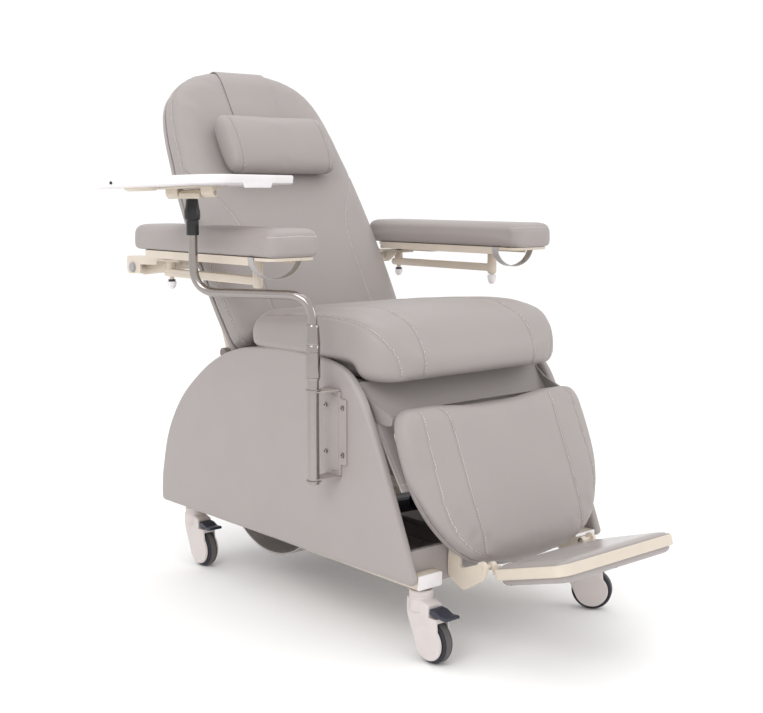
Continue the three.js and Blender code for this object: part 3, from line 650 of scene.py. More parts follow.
def seat_cushion():
    """The seat's pad: wider above the side panels, with a rounded nose."""
    def shaped(p):
        side = abs(p.x)
        rear = 0.062 * ease(p.y, 0.0, 0.12) * (1 - ease(side, 0.22, 0.30))
        tucked = (1 - ease(p.z, 0.634, 0.660)) * ease(p.y, -0.31, -0.25)
        nose = max(0.0, min(1.0, (-p.y - 0.270) / 0.124))
        half = 0.320 - 0.014 * ease(-p.y, 0.05, 0.30) - 0.030 * tucked
        half -= 0.066 * (1 - math.sqrt(1 - nose ** 2 * 0.999))
        crown = 0.004 * (1 - (p.x / 0.30) ** 2) * ease(p.z, 0.70, 0.74)
        dip = -0.004 * (hump(side, 0.180, 0.02) + hump(side, 0.27, 0.02)) * ease(p.z, 0.72, 0.745)
        return Vector((p.x * half / 0.317, p.y + rear, p.z + crown + dip))

    block = slab("seat_cushion_skin", "x", closed_curve(SEAT_SECTION), -0.317, 0.317,
                 ((0.040, 0.042), (0.040, 0.042)), "upholstery", CHAIR, 8)
    obj = pad(block, "seat_cushion", "base", CHAIR, 0.010, 0.004, lambda p: p.z < 0.62, shaped)
    side = [(0.292, 0.09, 0.722), (0.292, -0.02, 0.735), (0.292, -0.12, 0.741), (0.290, -0.227, 0.738),
            (0.283, -0.310, 0.722), (0.268, -0.362, 0.692), (0.254, -0.385, 0.655), (0.245, -0.388, 0.610)]
    deco = [(0.180, 0.13, 0.72), (0.180, -0.10, 0.75), (0.180, -0.243, 0.753), (0.180, -0.311, 0.745),
            (0.180, -0.356, 0.719), (0.180, -0.386, 0.687), (0.180, -0.390, 0.643), (0.180, -0.386, 0.606)]
    sew(obj, "base", both_sides(smooth_line(side)) + both_sides(smooth_line(deco)), CHAIR)


def legrest_cushion():
    """The leg rest's pad, with a dip in its top edge."""
    def shaped(p):
        side = abs(p.x)
        front = 1 - ease(p.y, 0.015, 0.05)
        crown = 0.005 * (1 - (p.x / 0.28) ** 2)
        panels = 0.004 * hump(side, 0.207, 0.03)
        saddle = 0.013 * (1 - ease(side, 0.02, 0.21)) * (1 - ease(-p.z, -0.012, 0.07))
        tuck = 0.012 * ease(p.y, 0.02, 0.06) * ease(-p.z, 0.12, 0.20)
        scale = 1 - tuck / max(side, 0.1)
        return Vector((p.x * scale, p.y - (crown + panels) * front, p.z - saddle))

    block = slab("legrest_cushion_skin", "y", full_outline(LEGREST_HALF, -1), 0.003, 0.0595,
                 ((0.030, 0.028), (0.014, 0.018)), "upholstery", LEGREST, 8)
    obj = pad(block, "legrest_cushion", "leg", LEGREST, 0.009, 0.004, lambda p: p.y > 0.045, shaped)
    panel = [(0.243, 0.006, -0.006), (0.246, 0, -0.06), (0.247, 0, -0.11), (0.250, 0, -0.17),
             (0.247, 0, -0.23), (0.231, 0.001, -0.29), (0.200, 0.003, -0.334), (0.150, 0.008, -0.360)]
    deco = [(0.178, 0.006, -0.004), (0.169, 0, -0.04), (0.168, 0, -0.19), (0.165, 0, -0.25),
            (0.161, 0, -0.32), (0.160, 0.006, -0.356)]
    sew(obj, "leg", both_sides(smooth_line(panel)) + both_sides(smooth_line(deco)), LEGREST)


def board_covers():
    """The vinyl backs that close the back and the leg rest behind their cushions."""
    back = slab("back_cover", "y", full_outline(BACK_HALF, 1, 0.007), 0.0732, 0.0868, 0.003, "panel", BACK)
    attach(back, "back")
    outline = full_outline(LEGREST_HALF, -1, 0.022)
    leg = slab("legrest_cover", "y", outline, 0.0603, 0.0738, 0.003, "panel", LEGREST)
    cut = tube("hinge_room", [LEG_HINGE_LEFT, LEG_HINGE_RIGHT], 0.0175, "panel", LEGREST, 24)
    carve(leg, cut)
    attach(leg, "leg")


def apron_sheet():
    """The vinyl sheet under the seat's front edge, hemmed along its lower end."""
    half_width = 0.2938
    profile = flat((-0.2835, 0.6015), (-0.2890, 0.6015), (-0.3300, 0.5450), (-0.3800, 0.4690),
                   (-0.4425, 0.3765), (-0.4385, 0.3740), (-0.3760, 0.4665), (-0.3260, 0.5425))
    sheet = slab("apron_sheet", "x", profile, -half_width, half_width, 0.0012, "panel", steps=3)
    slot = slab("slot", "z", rectangle(-0.030, 0.030, -0.46, -0.32, 0.004), 0.30, 0.505, 0.001, "panel")
    carve(sheet, slot)
    attach(sheet, "base", "apron")
    tree = surface_of(sheet)
    hem = [(-0.286, -0.4335, 0.3905), (0.286, -0.4335, 0.3905)]
    left = [(-0.284, -0.4335, 0.3905), (-0.284, -0.31, 0.575)]
    for number, line in enumerate((hem, left, [(-x, y, z) for x, y, z in left])):
        points = [CHAIR @ Vector(p) for p in line]
        stitches(f"apron_stitch_{number}", tree, points, "base", 0.0)


def seat_pan():
    """The pan under the seat and the slim hangers that carry the leg rest's hinge rod; hangers, lugs, rod
    and drop plate get a darker vinyl as painted shade.
    """
    plan = rectangle(-0.291, 0.291, -0.283, 0.210, 0.006)
    parts = [slab("seat_pan_sheet", "z", plan, 0.588, 0.5995, 0.001, "panel")]
    hanger = [(-0.286, 0.598), (-0.330, 0.565, 0.01), (-0.392, 0.5405, 0.008), (-0.404, 0.534, 0.006),
              (-0.404, 0.517, 0.008), (-0.385, 0.515, 0.008), (-0.340, 0.520, 0.01), (-0.262, 0.588)]
    lug = [(0.180, 0.5885), (0.300, 0.586, 0.012), (0.300, 0.611, 0.012), (0.275, 0.611, 0.010),
           (0.180, 0.5995)]
    for side in (-1, 1):
        low, high = mirrored(side, 0.2835, 0.2905)
        # Hangers, lugs, hinge rod and drop plate take the darker vinyl as painted shade under the seat.
        parts.append(slab("hanger", "x", rounded(hanger, 5), low, high, 0.001, "painted_shade"))
        low, high = mirrored(side, 0.213, 0.221)
        parts.append(slab("lug", "x", rounded(lug), low, high, 0.001, "painted_shade"))
        axle = [(side * 0.214, *RECLINE_AXIS), (side * 0.239, *RECLINE_AXIS)]
        parts.append(tube("axle", axle, 0.006, "steel", sides=20))
    rod = [(-0.290, *SEAT_HINGE), (0.290, *SEAT_HINGE)]
    parts.append(tube("hinge_rod", rod, 0.008, "painted_shade", sides=20))
    drop = [(-0.200, 0.589), (-0.194, 0.470, 0.01), (-0.166, 0.470, 0.01), (-0.160, 0.589)]
    parts.append(slab("actuator_drop", "x", rounded(drop), 0.0694, 0.0774, 0.001, "painted_shade"))
    attach(merged("seat_pan_sheet", parts), "base", "seat_pan")


def pillow():
    """The head pillow: a squashed round roll with a seam round each end."""
    section = []
    for k in range(40):
        angle = 2 * math.pi * k / 40
        c, w = math.cos(angle), math.sin(angle)
        squareness = 0.75
        section.append(Vector((
            -0.0425 + 0.0375 * math.copysign(abs(c) ** squareness, c),
            0.502 + 0.088 * math.copysign(abs(w) ** squareness, w),
        )))
    block = slab("pillow_skin", "x", section, -0.176, 0.176, ((0.020, 0.024), (0.020, 0.024)),
                 "upholstery", BACK, 8)
    obj = pad(block, "pillow", "headrest", BACK, 0.007, 0.003, lambda p: p.y > -0.012)
    ring = []
    for k in range(37):
        angle = 2 * math.pi * k / 36
        ring.append((0.146, -0.0425 + 0.04 * math.cos(angle), 0.502 + 0.09 * math.sin(angle)))
    sew(obj, "headrest", both_sides(ring), BACK)


def arm_pads():
    """The two arm pads, each with a seam along its front edge."""
    corners = [(0.3190, -0.197, 0.028), (0.4650, -0.197, 0.028), (0.4650, 0.425, 0.032),
               (0.3190, 0.425, 0.032)]
    for tag, side in (("R", -1), ("L", 1)):
        outline = rounded([(side * x, y, r) for x, y, r in corners], 8)
        block = slab("arm_pad_skin_" + tag, "z", outline, 0.8823, 0.9435, ((0.006, 0.010), (0.018, 0.017)),
                     "upholstery", CHAIR, 8)

        def shaped(p, side=side):
            middle = (p.x * side - ARM_X) / 0.07
            crown = 0.002 * (1 - middle ** 2) * ease(p.z, 0.91, 0.93)
            return Vector((p.x, p.y, p.z + crown))

        obj = pad(block, "arm_pad_" + tag, "arm_" + tag, CHAIR, 0.006, 0.002,
                  lambda p: p.z < 0.90, shaped, 1)
        edge = [(p.x, p.y, 0.9315) for p in inset(anticlockwise(outline), 0.003)]
        front = [p for p in edge if p[1] < -0.04]
        front.sort(key=lambda p: side * math.atan2(p[0] - side * ARM_X, 0.02 - p[1]))
        sew(obj, "arm_" + tag, [front], CHAIR, width=0.0022, depth=0.0012)


def footrest_pad():
    """The footrest's shiny pad, set in its rim."""
    plan = rounded([(-0.1634, -0.0206, 0.010), (-0.1874, -0.2414, 0.026), (0.1874, -0.2414, 0.026),
                    (0.1634, -0.0206, 0.010)], 8)
    block = slab("footrest_pad_skin", "z", plan, -0.0237, -0.0015, ((0.003, 0.003), (0.012, 0.009)),
                 "glossy", FOOTREST, 6)
    pad(block, "footrest_pad", "foot", FOOTREST, 0.005, 0.0015, lambda p: p.z < -0.012,
        lambda p: Vector((p.x, p.y, p.z + 0.0015 * (1 - (p.x / 0.19) ** 2) * ease(p.z, -0.012, -0.004))), 1)


def footrest_underside():
    """The padded belly under the footrest's rim, and the bolts through its two hooks."""
    plan = rounded([(-0.160, -0.026, 0.012), (-0.184, -0.238, 0.026), (0.184, -0.238, 0.026),
                    (0.160, -0.026, 0.012)], 8)
    belly = slab("footrest_belly", "z", plan, -0.0475, -0.0322, ((0.020, 0.012), (0.002, 0.002)),
                 "panel", FOOTREST, 6)
    attach(belly, "foot")
    for side in (-1, 1):
        outer = screw_head((side * 0.1762, 0, 0), "x", 0.0062, "steel", side * 0.0045, FOOTREST)
        attach(outer, "leg")
        inner = screw_head((side * 0.1438, 0, 0), "x", 0.0060, "steel", -side * 0.0040, FOOTREST)
        attach(inner, "foot")


PANEL_CREST = [
    (-0.497, 0.206), (-0.480, 0.249), (-0.437, 0.351), (-0.396, 0.445), (-0.355, 0.528), (-0.318, 0.588),
    (-0.266, 0.630), (-0.182, 0.650), (-0.066, 0.6575), (0.050, 0.652), (0.164, 0.636), (0.262, 0.602),
    (0.352, 0.548), (0.440, 0.474), (0.507, 0.376), (0.541, 0.266), (0.549, 0.206),
]


def side_panels():
    """The two padded side panels under their curved crest."""
    crest = smooth_line([(0, y, z) for y, z in PANEL_CREST], 6)
    outline = rounded([(y, z) for _x, y, z in crest] + [(0.548, 0.172, 0.012), (-0.508, 0.180, 0.012)], 8)
    for tag, side in (("right", -1), ("left", 1)):
        inner, outer = mirrored(side, 0.2953, 0.3195)
        name = "side_panel_skin_" + tag
        obj = slab(name, "x", outline, inner, outer, 0.0095, "panel", steps=6)
        attach(obj, "base", "side_panel_" + tag)


def pillow_strap(skin):
    """A flat webbing strap over the top of the back, lying on the skin it crosses."""
    tree = surface_of(skin)
    to_back = BACK.inverted()
    middle = Vector((0.045, 0.690))
    rays = [(Vector((0.0, along)), Vector((-1, 0))) for along in (0.47, 0.51, 0.55, 0.59, 0.63, 0.67)]
    for degrees in range(176, 66, -8):
        angle = math.radians(degrees)
        rays.append((middle, Vector((math.cos(angle), math.sin(angle)))))
    inner = []
    outer = []
    for start, way in rays:
        outside = BACK @ Vector((0, *(start + way * 0.3)))
        inwards = (BACK.to_3x3() @ Vector((0, *way))) * -1
        place, normal, _index, _distance = tree.ray_cast(outside, inwards)
        spot = (to_back @ place).yz
        away = (to_back.to_3x3() @ normal).yz.normalized()
        inner.append(spot + away * 0.0006)
        outer.append(spot + away * 0.0030)
    inner += [Vector((0.0885, 0.772)), Vector((0.0880, 0.745)), Vector((0.0880, 0.70))]
    outer += [Vector((0.0909, 0.774)), Vector((0.0904, 0.745)), Vector((0.0904, 0.70))]
    obj = slab("pillow_strap_webbing", "x", outer + inner[::-1], -0.080, 0.080, 0.0004,
               "upholstery", BACK, steps=1)
    attach(obj, "back", "pillow_strap")


def hand_straps():
    """Webbing that hangs in a loop across each arm, from edge to edge of the plate."""
    for tag, side in (("R", -1), ("L", 1)):
        outer = []
        inner = []
        for k in range(49):
            angle = math.pi * k / 48
            c, w = -math.cos(angle), math.sin(angle)
            outer.append(Vector((side * ARM_X + 0.0702 * c, 0.8825 - 0.0538 * w)))
            inner.append(Vector((side * ARM_X + 0.0680 * c, 0.8825 - 0.0516 * w)))
        obj = slab("hand_strap_webbing_" + tag, "y", outer + inner[::-1], -0.1245, -0.1035, 0.0004,
                   "webbing", steps=1)
        attach(obj, "arm_" + tag, "arm_strap_" + tag)


# ---- casters -------------------------------------------------------------------------------

WHEEL_CENTRE = Vector((0, -0.042, 0.050))


def around_wheel(radius, first, last, steps):
    """Points (y, z) about the wheel's axle; 0 degrees is behind, 270 is straight down."""
    points = []
    for k in range(steps + 1):
        angle = math.radians(first + (last - first) * k / steps)
        y = WHEEL_CENTRE.y + radius * math.cos(angle)
        z = WHEEL_CENTRE.z + radius * math.sin(angle)
        points.append((y, z))
    return points


CASTER_NOSE = around_wheel(0.0415, -28, -225, 24)


def caster_shell(name, place):
    side = [(0.027, 0.139), (0.027, 0.100, 0.05), *CASTER_NOSE, (-0.070, 0.094, 0.004),
            (-0.067, 0.126, 0.012), (-0.026, 0.139)]
    shell = slab(name, "x", rounded(side, 10), -0.020, 0.020, 0.004, "plastic", place)
    reach, room = 0.0535, 0.0153
    arch = lathe("arch", [(reach, -room), (reach, room)], WHEEL_CENTRE, "plastic", place, "x", 64)
    opening = flat((-0.2, -0.01), (-0.042, -0.01), (-0.042, 0.098), (-0.2, 0.098))
    mouth = slab("mouth", "x", opening, -room, room, 0.0001, "plastic", place, 1)
    step = flat((-0.2, 0.1075), (-0.046, 0.1075), (-0.046, 0.2), (-0.2, 0.2))
    shelf = slab("shelf", "x", step, -0.03, 0.03, 0.0001, "plastic", place, 1)
    carve(shell, arch, mouth, shelf)
    neck = lathe(name + "_neck", [
        (0.0, 0.112), (0.0265, 0.112), (0.027, 0.1128), (0.027, 0.1395), (0.0262, 0.1403), (0.0262, 0.1415),
        (0.027, 0.1423), (0.027, 0.1455), (0.0262, 0.1463), (0.0262, 0.1475), (0.027, 0.1483),
        (0.027, 0.1575), (0.0255, 0.1594), (0.0, 0.1594)], (0, 0, 0), "plastic", place)
    plates = []
    for sign in (-1, 1):
        disc = lathe(name + "_disc", [
            (0.0, sign * 0.0190), (0.0398, sign * 0.0190), (0.0405, sign * 0.0197),
            (0.0400, sign * 0.0203), (0.0, sign * 0.0206)], WHEEL_CENTRE, "plastic", place, "x")
        plates.append(disc)
    return merged(name, [shell, neck, *plates])


def caster_wheel(name, place):
    tread = [(0.0, -0.0135), (0.0375, -0.0135), (0.0385, -0.0125), (0.0445, -0.0132), (0.0475, -0.0118),
             (0.0492, -0.0085)]
    tyre = lathe(name, tread + [(r, -x) for r, x in tread[::-1]], WHEEL_CENTRE, "tyre", place, "x", 72)
    crown = [(0.0485, -0.0078), (0.0499, -0.0070), (0.0500, 0.0), (0.0499, 0.0070), (0.0485, 0.0078)]
    band = lathe(name + "_band", crown, WHEEL_CENTRE, "tread", place, "x", 72)
    return merged(name, [tyre, band])


def caster_pedal(name, place):
    profile = [(-0.048, 0.1135), (-0.048, 0.1275, 0.002), (-0.066, 0.126, 0.01), (-0.084, 0.1185, 0.02),
               (-0.103, 0.1205, 0.003), (-0.1065, 0.1135, 0.003), (-0.090, 0.1100, 0.012),
               (-0.070, 0.1130, 0.004)]
    body = slab(name, "x", rounded(profile, 5), -0.019, 0.019, 0.0022, "black", place)
    ribs = []
    for k in range(4):
        y = -0.060 - k * 0.005
        foot, top = 0.1245 - k * 0.0012, 0.1275 - k * 0.0016
        outline = flat((-0.014, foot), (0.014, foot), (0.014, top), (-0.014, top))
        rib = slab(name + "_rib", "y", outline, y - 0.0008, y + 0.0008, 0.0003, "black", place, 1)
        ribs.append(rib)
    return merged(name, [body, *ribs])


def casters():
    corners = (("FR", -1, -1, 0), ("FL", 1, -1, 33), ("RR", -1, 1, 0), ("RL", 1, 1, 0))
    for tag, side_x, side_y, swivel in corners:
        place = Matrix.Translation(RECENTRE + Vector((side_x * 0.260, side_y * 0.468, 0)))
        place = place @ Matrix.Rotation(math.radians(swivel), 4, "Z")
        attach(caster_shell("caster_shell_" + tag, place), "caster_" + tag, "caster_housing_" + tag)
        attach(caster_wheel("caster_tyre_" + tag, place), "wheel_" + tag, "caster_wheel_" + tag)
        attach(caster_pedal("caster_lever_" + tag, place), "pedal_" + tag, "caster_pedal_" + tag)


# ---- the base's rails ----------------------------------------------------------------------


def rails():
    """The base's two rails with white end caps, whose white partly stands for the strongly lit end faces as
    painted light, and the posts that carry the seat pan.
    """
    for tag, side in (("right", -1), ("left", 1)):
        outline = rectangle(*mirrored(side, 0.2240, 0.2950), 0.166, 0.198, 0.004, 4)
        rail = slab("rail_" + tag, "y", outline, -0.4950, 0.4950, 0.0006, "cream")
        caps = []
        # The end caps are white, lighter than the cream rail: partly the caps' own white, partly painted
        # light for the lit end faces.
        for y_low, y_high in ((-0.4980, -0.4945), (0.4945, 0.4980)):
            caps.append(slab("cap", "y", outline, y_low, y_high, 0.0012, "white"))
        posts = []
        for y_low, y_high in ((-0.240, -0.200), (0.150, 0.190)):
            foot = rectangle(*mirrored(side, 0.240, 0.280), y_low, y_high, 0.004, 3)
            posts.append(slab("post", "z", foot, 0.1975, 0.5872, 0.0005, "cream"))
        attach(merged("rail_" + tag, [rail, *caps, *posts]), "base", "frame_" + tag)


# ---- the tray ------------------------------------------------------------------------------


def tray_tube():
    """The chromed tube: up out of its socket, across to the tray, and up again."""
    points = [(*TRAY_POST, 0.560), (*TRAY_POST, 0.800), (*TRAY_STEM, 0.800), (*TRAY_STEM, 1.026)]
    route = bent(points, 0.062, 14)
    attach(tube("tray_tube_bent", route, 0.0105, "steel", sides=36), "tray_post", "tray_tube")


def tray_collar():
    profile = [(0.0107, 0.690), (0.0165, 0.690), (0.0168, 0.692), (0.0162, 0.700), (0.0145, 0.728),
               (0.0142, 0.733), (0.0130, 0.735), (0.0107, 0.735)]
    obj = lathe("tray_collar_turned", profile + profile[:1], (*TRAY_POST, 0), "steel")
    attach(obj, "tray_arm", "tray_collar")


def tray_knob():
    profile = [(0.0109, 0.930), (0.0138, 0.930), (0.0145, 0.932), (0.0145, 0.964), (0.0172, 0.966),
               (0.0176, 0.969), (0.0176, 0.988), (0.0166, 0.991), (0.0138, 1.010), (0.0128, 1.0125),
               (0.0109, 1.0125)]
    grip = lathe("tray_knob_grip", profile + profile[:1], (*TRAY_STEM, 0), "knob")
    ribs = []
    for k in range(16):
        angle = 2 * math.pi * k / 16
        across = Vector((math.cos(angle), math.sin(angle), 0)) * 0.0174
        foot = Vector((*TRAY_STEM, 0.970)) + across
        ribs.append(tube("rib", [foot, foot + Vector((0, 0, 0.017))], 0.0009, "knob", sides=8))
    attach(merged("tray_knob_grip", [grip, *ribs]), "tray_grip", "tray_knob")


def tray_top():
    """A moulded tray: a floor that curves up into a rolled rim, and a grip tab below its edge."""
    centre = (0.018, -0.009)
    half = (0.205, 0.147)
    radii = (0.100, 0.028, 0.028, 0.028)
    signs = ((-1, -1), (1, -1), (1, 1), (-1, 1))
    corners = [(centre[0] + sx * half[0], centre[1] + sy * half[1], r) for (sx, sy), r in zip(signs, radii)]
    outline = anticlockwise(rounded(corners, 14))
    section = [(0.014, 0.0157), (0.006, 0.0160), (0.002, 0.0190), (0.0, 0.0320), (0.0008, 0.0355),
               (0.0030, 0.0370), (0.0055, 0.0362), (0.0070, 0.0330), (0.0085, 0.0250), (0.0120, 0.0218),
               (0.0180, 0.0210)]
    verts = []
    for pull, height in section:
        verts += [(p.x, p.y, height) for p in inset(outline, pull)]
    shell = piece("tray_moulding", verts, ring_faces(len(section), len(outline)), "white", TRAY)
    tab_shape = [(-0.030, 0.0200), (-0.024, 0.0075, 0.004), (0.092, 0.0075, 0.004), (0.100, 0.0200)]
    tab = slab("tray_tab", "y", rounded(tab_shape), -0.1562, -0.1520, 0.001, "white", TRAY)
    dish = lathe("dish", [(0.0, 0.0160), (0.038, 0.0160), (0.037, 0.0125), (0.031, 0.0085), (0.0, 0.0080)],
                 (-0.130, 0.046, 0), "cream", TRAY, "z", 48)
    # A near-black disc on the tray's left edge stands for the shade inside a small hole: painted shade.
    hole = lathe("hole", [(0.0, 0.0), (0.0034, 0.0), (0.0034, -0.0007), (0.0, -0.0007)],
                 (-0.1868, 0.085, 0.0275), "knob", TRAY, "x", 20)
    screws = []
    head = [(0.0, 0.0209), (0.0050, 0.0209), (0.0046, 0.0224), (0.0, 0.0228)]
    for x in (-0.078, 0.046):
        for y in (-0.052, 0.052):
            screws.append(lathe("screw", head, (x, y, 0), "steel", TRAY, "z", 20))
    attach(merged("tray_moulding", [shell, tab, dish, hole, *screws]), "tray", "tray_top")


def tray_head():
    """The clamp head on the grip with its tilt pin, and the plate and lugs under the tray."""
    barrel_profile = [(0.0, -0.028), (0.0095, -0.028), (0.010, -0.0272), (0.010, 0.0272), (0.0095, 0.028),
                      (0.0, 0.028)]
    barrel = lathe("tray_head_barrel", barrel_profile, (0, 0, 0), "cream", TRAY, "y")
    pin_profile = [(0.0, -0.0655), (0.0045, -0.0655), (0.005, -0.064), (0.005, 0.064), (0.0045, 0.0655),
                   (0.0, 0.0655)]
    pin = lathe("pin", pin_profile, (0, 0, 0), "steel", TRAY, "y", 24)
    foot = rectangle(-0.0155, 0.0155, -0.028, 0.028, 0.006)
    socket = slab("socket", "z", foot, -0.0105, 0.002, 0.0015, "cream", TRAY_LEVEL)
    attach(merged("tray_head_barrel", [barrel, pin, socket]), "tray_head", "tray_clamp")
    plan = rectangle(-0.092, 0.060, -0.066, 0.066, 0.01)
    lugs = [slab("tray_mount_plate", "z", plan, 0.0124, 0.0154, 0.0008, "cream", TRAY)]
    outline = rounded([(-0.013, 0.0126), (-0.013, -0.002, 0.010), (0.0, -0.011, 0.006),
                       (0.013, -0.002, 0.010), (0.013, 0.0126)])
    for low, high in ((-0.063, -0.031), (0.031, 0.063)):
        lugs.append(slab("lug", "y", outline, low, high, 0.0012, "cream", TRAY))
    attach(merged("tray_mount_plate", lugs), "tray", "tray_mount")


def screw_head(place_at, axis, radius=0.006, finish="steel", depth=0.0025, place=CHAIR, sides=24):
    """A low domed head on a thin washer, with a round recess in its middle."""
    sign = 1 if depth > 0 else -1
    height = abs(depth)
    shape = [(0.0, 0.0), (1.25, 0.0), (1.25, 0.3), (1.0, 0.35), (0.95, 0.85), (0.7, 1.0), (0.45, 1.0),
             (0.4, 0.5), (0.0, 0.5)]
    profile = [(radius * out, sign * height * up) for out, up in shape]
    return lathe("screw_head", profile, place_at, finish, place, axis, sides)


def tray_bracket():
    """A folded bracket bolted to the panel, with lugs above and below that hold the fixed tube."""
    face = -0.3198
    notch = [(-0.283, 0.412, 0.003), (-0.262, 0.412, 0.002), (-0.262, 0.384, 0.006), (-0.196, 0.381, 0.003),
             (-0.196, 0.584, 0.003), (-0.262, 0.581, 0.006), (-0.262, 0.565, 0.002), (-0.283, 0.563, 0.003)]
    parts = [slab("tray_bracket_folded", "x", rounded(notch, 4), face - 0.0034, face, 0.0008, "bracket")]
    rib = [(-0.256, 0.398, 0.003), (-0.228, 0.392, 0.003), (-0.228, 0.574, 0.003), (-0.256, 0.568, 0.003)]
    parts.append(slab("rib", "x", rounded(rib, 4), face - 0.0044, face - 0.001, 0.0010, "bracket"))
    lug = [(-0.387, -0.250, 0.010), (face - 0.001, -0.2615), (face - 0.001, -0.2060),
           (-0.387, -0.224, 0.010)]
    for low in (0.3803, 0.5815):
        parts.append(slab("lug", "z", rounded(lug, 5), low, low + 0.0034, 0.0007, "bracket"))
    post = [(0.0, 0.371), (0.0118, 0.371), (0.013, 0.3722), (0.013, 0.6095), (0.0148, 0.6100),
            (0.0150, 0.6118), (0.0150, 0.6150), (0.0165, 0.6160), (0.0165, 0.6700), (0.0156, 0.6712),
            (0.0156, 0.6730), (0.0165, 0.6742), (0.0165, 0.6885), (0.0158, 0.6896), (0.0112, 0.6896),
            (0.0112, 0.57), (0.0, 0.57)]
    parts.append(lathe("post", post, (*TRAY_POST, 0), "steel"))
    for z in (0.3772, 0.5860):
        ring = [(0.0128, z), (0.0172, z), (0.0176, z + 0.0008), (0.0172, z + 0.0030), (0.0128, z + 0.0030)]
        parts.append(lathe("ring", ring + ring[:1], (*TRAY_POST, 0), "steel"))
    for y in (-0.209, -0.271):
        for z in (0.544, 0.435):
            parts.append(screw_head((face - 0.0034, y, z), "x", 0.0052, "steel", -0.0042))
    attach(merged("tray_bracket_folded", parts), "base", "tray_bracket")


# ---- the arms ------------------------------------------------------------------------------


def arm_hardware():
    """The bar and posts under each arm, the left one's foot, and the knob that is pulled down."""
    bar_shape = rounded([(-0.043, 0.812, 0.004), (0.372, 0.812, 0.010), (0.372, 0.832, 0.010),
                         (-0.043, 0.832, 0.004)])
    post_profile = [(0.0, 0.804), (0.0075, 0.8045), (0.0112, 0.8070), (0.0125, 0.8110), (0.0125, 0.8740),
                    (0.0, 0.8745)]
    bush_profile = [(0.0066, 0.8315), (0.012, 0.8315), (0.012, 0.8500), (0.0066, 0.8500), (0.0066, 0.8315)]
    foot_profile = [(0.0, 0.776), (0.004, 0.7768), (0.0078, 0.7800), (0.0105, 0.7860), (0.0120, 0.7940),
                    (0.0122, 0.8020), (0.0, 0.8035)]
    knob_profile = [(0.0, 0.7800), (0.0045, 0.7806), (0.0080, 0.7832), (0.0108, 0.7885), (0.0120, 0.7960),
                    (0.0118, 0.7990), (0.0, 0.7995)]
    collar_profile = [(0.0, 0.7990), (0.0092, 0.7990), (0.0092, 0.8044), (0.0, 0.8046)]
    for tag, side in (("R", -1), ("L", 1)):
        front = (side * 0.389, -0.039, 0)
        rear = (side * 0.389, 0.349, 0)
        low, high = mirrored(side, 0.379, 0.399)
        bar = slab("arm_bar_painted_" + tag, "x", bar_shape, low, high, 0.0025, "cream")
        post = lathe("post", post_profile, front, "cream", sides=32)
        bush = lathe("bush", bush_profile, rear, "cream", sides=32)
        parts = [bar, post, bush]
        if side > 0:
            parts.append(lathe("foot", foot_profile, front, "white", sides=32))
        attach(merged("arm_bar_painted_" + tag, parts), "arm_" + tag, "arm_bar_" + tag)
        knob = lathe("rear_knob_turned_" + tag, knob_profile, rear, "white", sides=32)
        collar = lathe("collar", collar_profile, rear, "black", sides=32)
        attach(merged("rear_knob_turned_" + tag, [knob, collar]), "pull_" + tag, "rear_knob_" + tag)


def cross_tube():
    ends = [(-0.3955, 0.540, 0.827), (0.3955, 0.540, 0.827)]
    body = tube("arm_tube_round", ends, 0.0125, "cream", sides=40)
    plugs = []
    for side in (-1, 1):
        shape = [(0.0, 0.395), (0.0132, 0.395), (0.0135, 0.3965), (0.0128, 0.3998), (0.006, 0.4),
                 (0.0, 0.4)]
        profile = [(radius, side * x) for radius, x in shape]
        plugs.append(lathe("plug", profile, (0, 0.540, 0.827), "grey", CHAIR, "x", 32))
    attach(merged("arm_tube_round", [body, *plugs]), "arm_carrier", "arm_tube")


# ---- finishes on the CAD's own pieces ------------------------------------------------------

CAD_FINISH = {
    "cream": ["back_frame",
              "rear_link", "arm_bracket_R", "arm_bracket_L", "arm_plate_R", "arm_plate_L",
              "release_lever_R", "release_lever_L", "legrest_frame", "footrest_frame"],
    "panel": ["kick_board", "rear_board", "belly_pan"],
    # The crossbars take the dark brown as painted shade for the inside of the base.
    "brown": ["crossbar_front", "crossbar_rear"],
    "black": ["control_box", "back_actuator", "leg_actuator"],
    "steel": ["back_rod", "leg_rod"],
}


def finish_cad():
    for finish, nodes in CAD_FINISH.items():
        for name in nodes:
            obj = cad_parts[name]
            obj.data.materials.clear()
            obj.data.materials.append(MATS[finish])


# ---- camera, floor and light ---------------------------------------------------------------


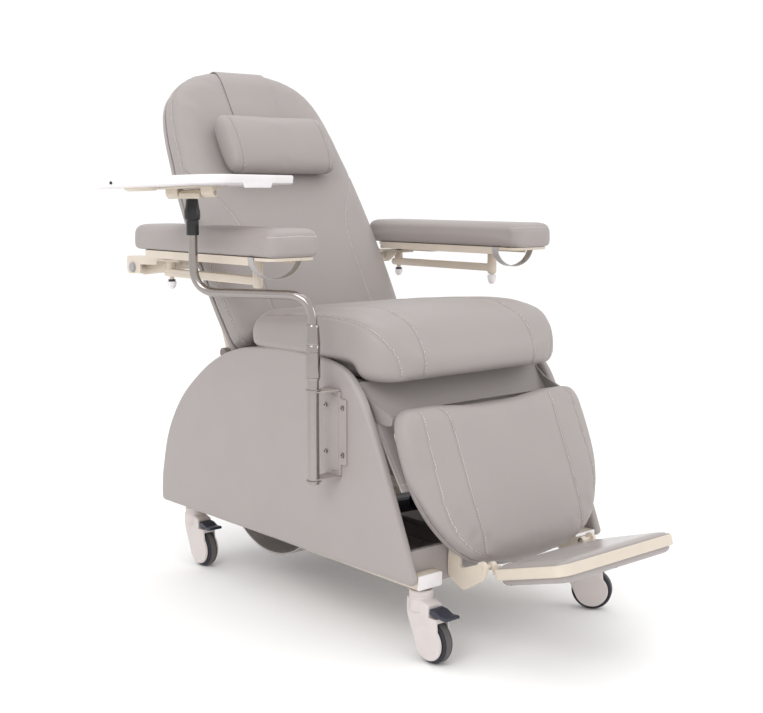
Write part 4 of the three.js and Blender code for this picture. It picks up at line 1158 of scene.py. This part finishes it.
def camera():
    data = bpy.data.cameras.new("camera")
    data.sensor_width = 36
    data.lens = 57.82
    data.clip_start = 0.05
    obj = bpy.data.objects.new("camera", data)
    bpy.context.scene.collection.objects.link(obj)
    turn = Euler((math.radians(90 - 7.7446), 0, math.radians(-40.447)), "XYZ")
    stand = Matrix.Translation(RECENTRE + Vector((-2.0271, -2.4057, 1.0331)))
    obj.matrix_world = stand @ turn.to_matrix().to_4x4()
    bpy.context.scene.camera = obj


def floor():
    mesh = bpy.data.meshes.new("floor")
    size = 14
    corners = [(-size, -size, 0), (size, -size, 0), (size, size, 0), (-size, size, 0)]
    mesh.from_pydata(corners, [], [(0, 1, 2, 3)])
    obj = bpy.data.objects.new("floor", mesh)
    mat, _tree, _shader = new_material("floor_paint", (0.99, 0.99, 0.99), 0.95)
    mesh.materials.append(mat)
    bpy.context.scene.collection.objects.link(obj)


def area_light(name, place, aim, size, power):
    data = bpy.data.lights.new(name, "AREA")
    data.size = size
    data.energy = power
    obj = bpy.data.objects.new(name, data)
    obj.location = place
    obj.rotation_euler = (Vector(aim) - Vector(place)).to_track_quat("-Z", "Y").to_euler()
    bpy.context.scene.collection.objects.link(obj)


def lights():
    world = bpy.data.worlds.new("studio")
    world.use_nodes = True
    world.node_tree.nodes["Background"].inputs["Color"].default_value = (1.0, 1.0, 1.0, 1)
    world.node_tree.nodes["Background"].inputs["Strength"].default_value = 1.05
    bpy.context.scene.world = world
    area_light("key", (-2.9, -1.6, 3.0), (0, 0, 0.6), 1.8, 40)
    area_light("fill", (2.6, -3.0, 2.0), (0, 0, 0.6), 1.6, 14)
    area_light("top", (0.2, 0.6, 3.6), (0, 0, 0.6), 3.2, 22)


# ---- the whole chair -----------------------------------------------------------------------

bpy.context.scene.view_settings.view_transform = "Standard"
camera()
floor()
lights()
finish_cad()
back_skin = back_cushion()
seat_cushion()
legrest_cushion()
seat_pan()
apron_sheet()
board_covers()
pillow()
arm_pads()
footrest_pad()
footrest_underside()
side_panels()
pillow_strap(back_skin)
hand_straps()
casters()
rails()
tray_tube()
tray_collar()
tray_knob()
tray_top()
tray_head()
tray_bracket()
arm_hardware()
cross_tube()
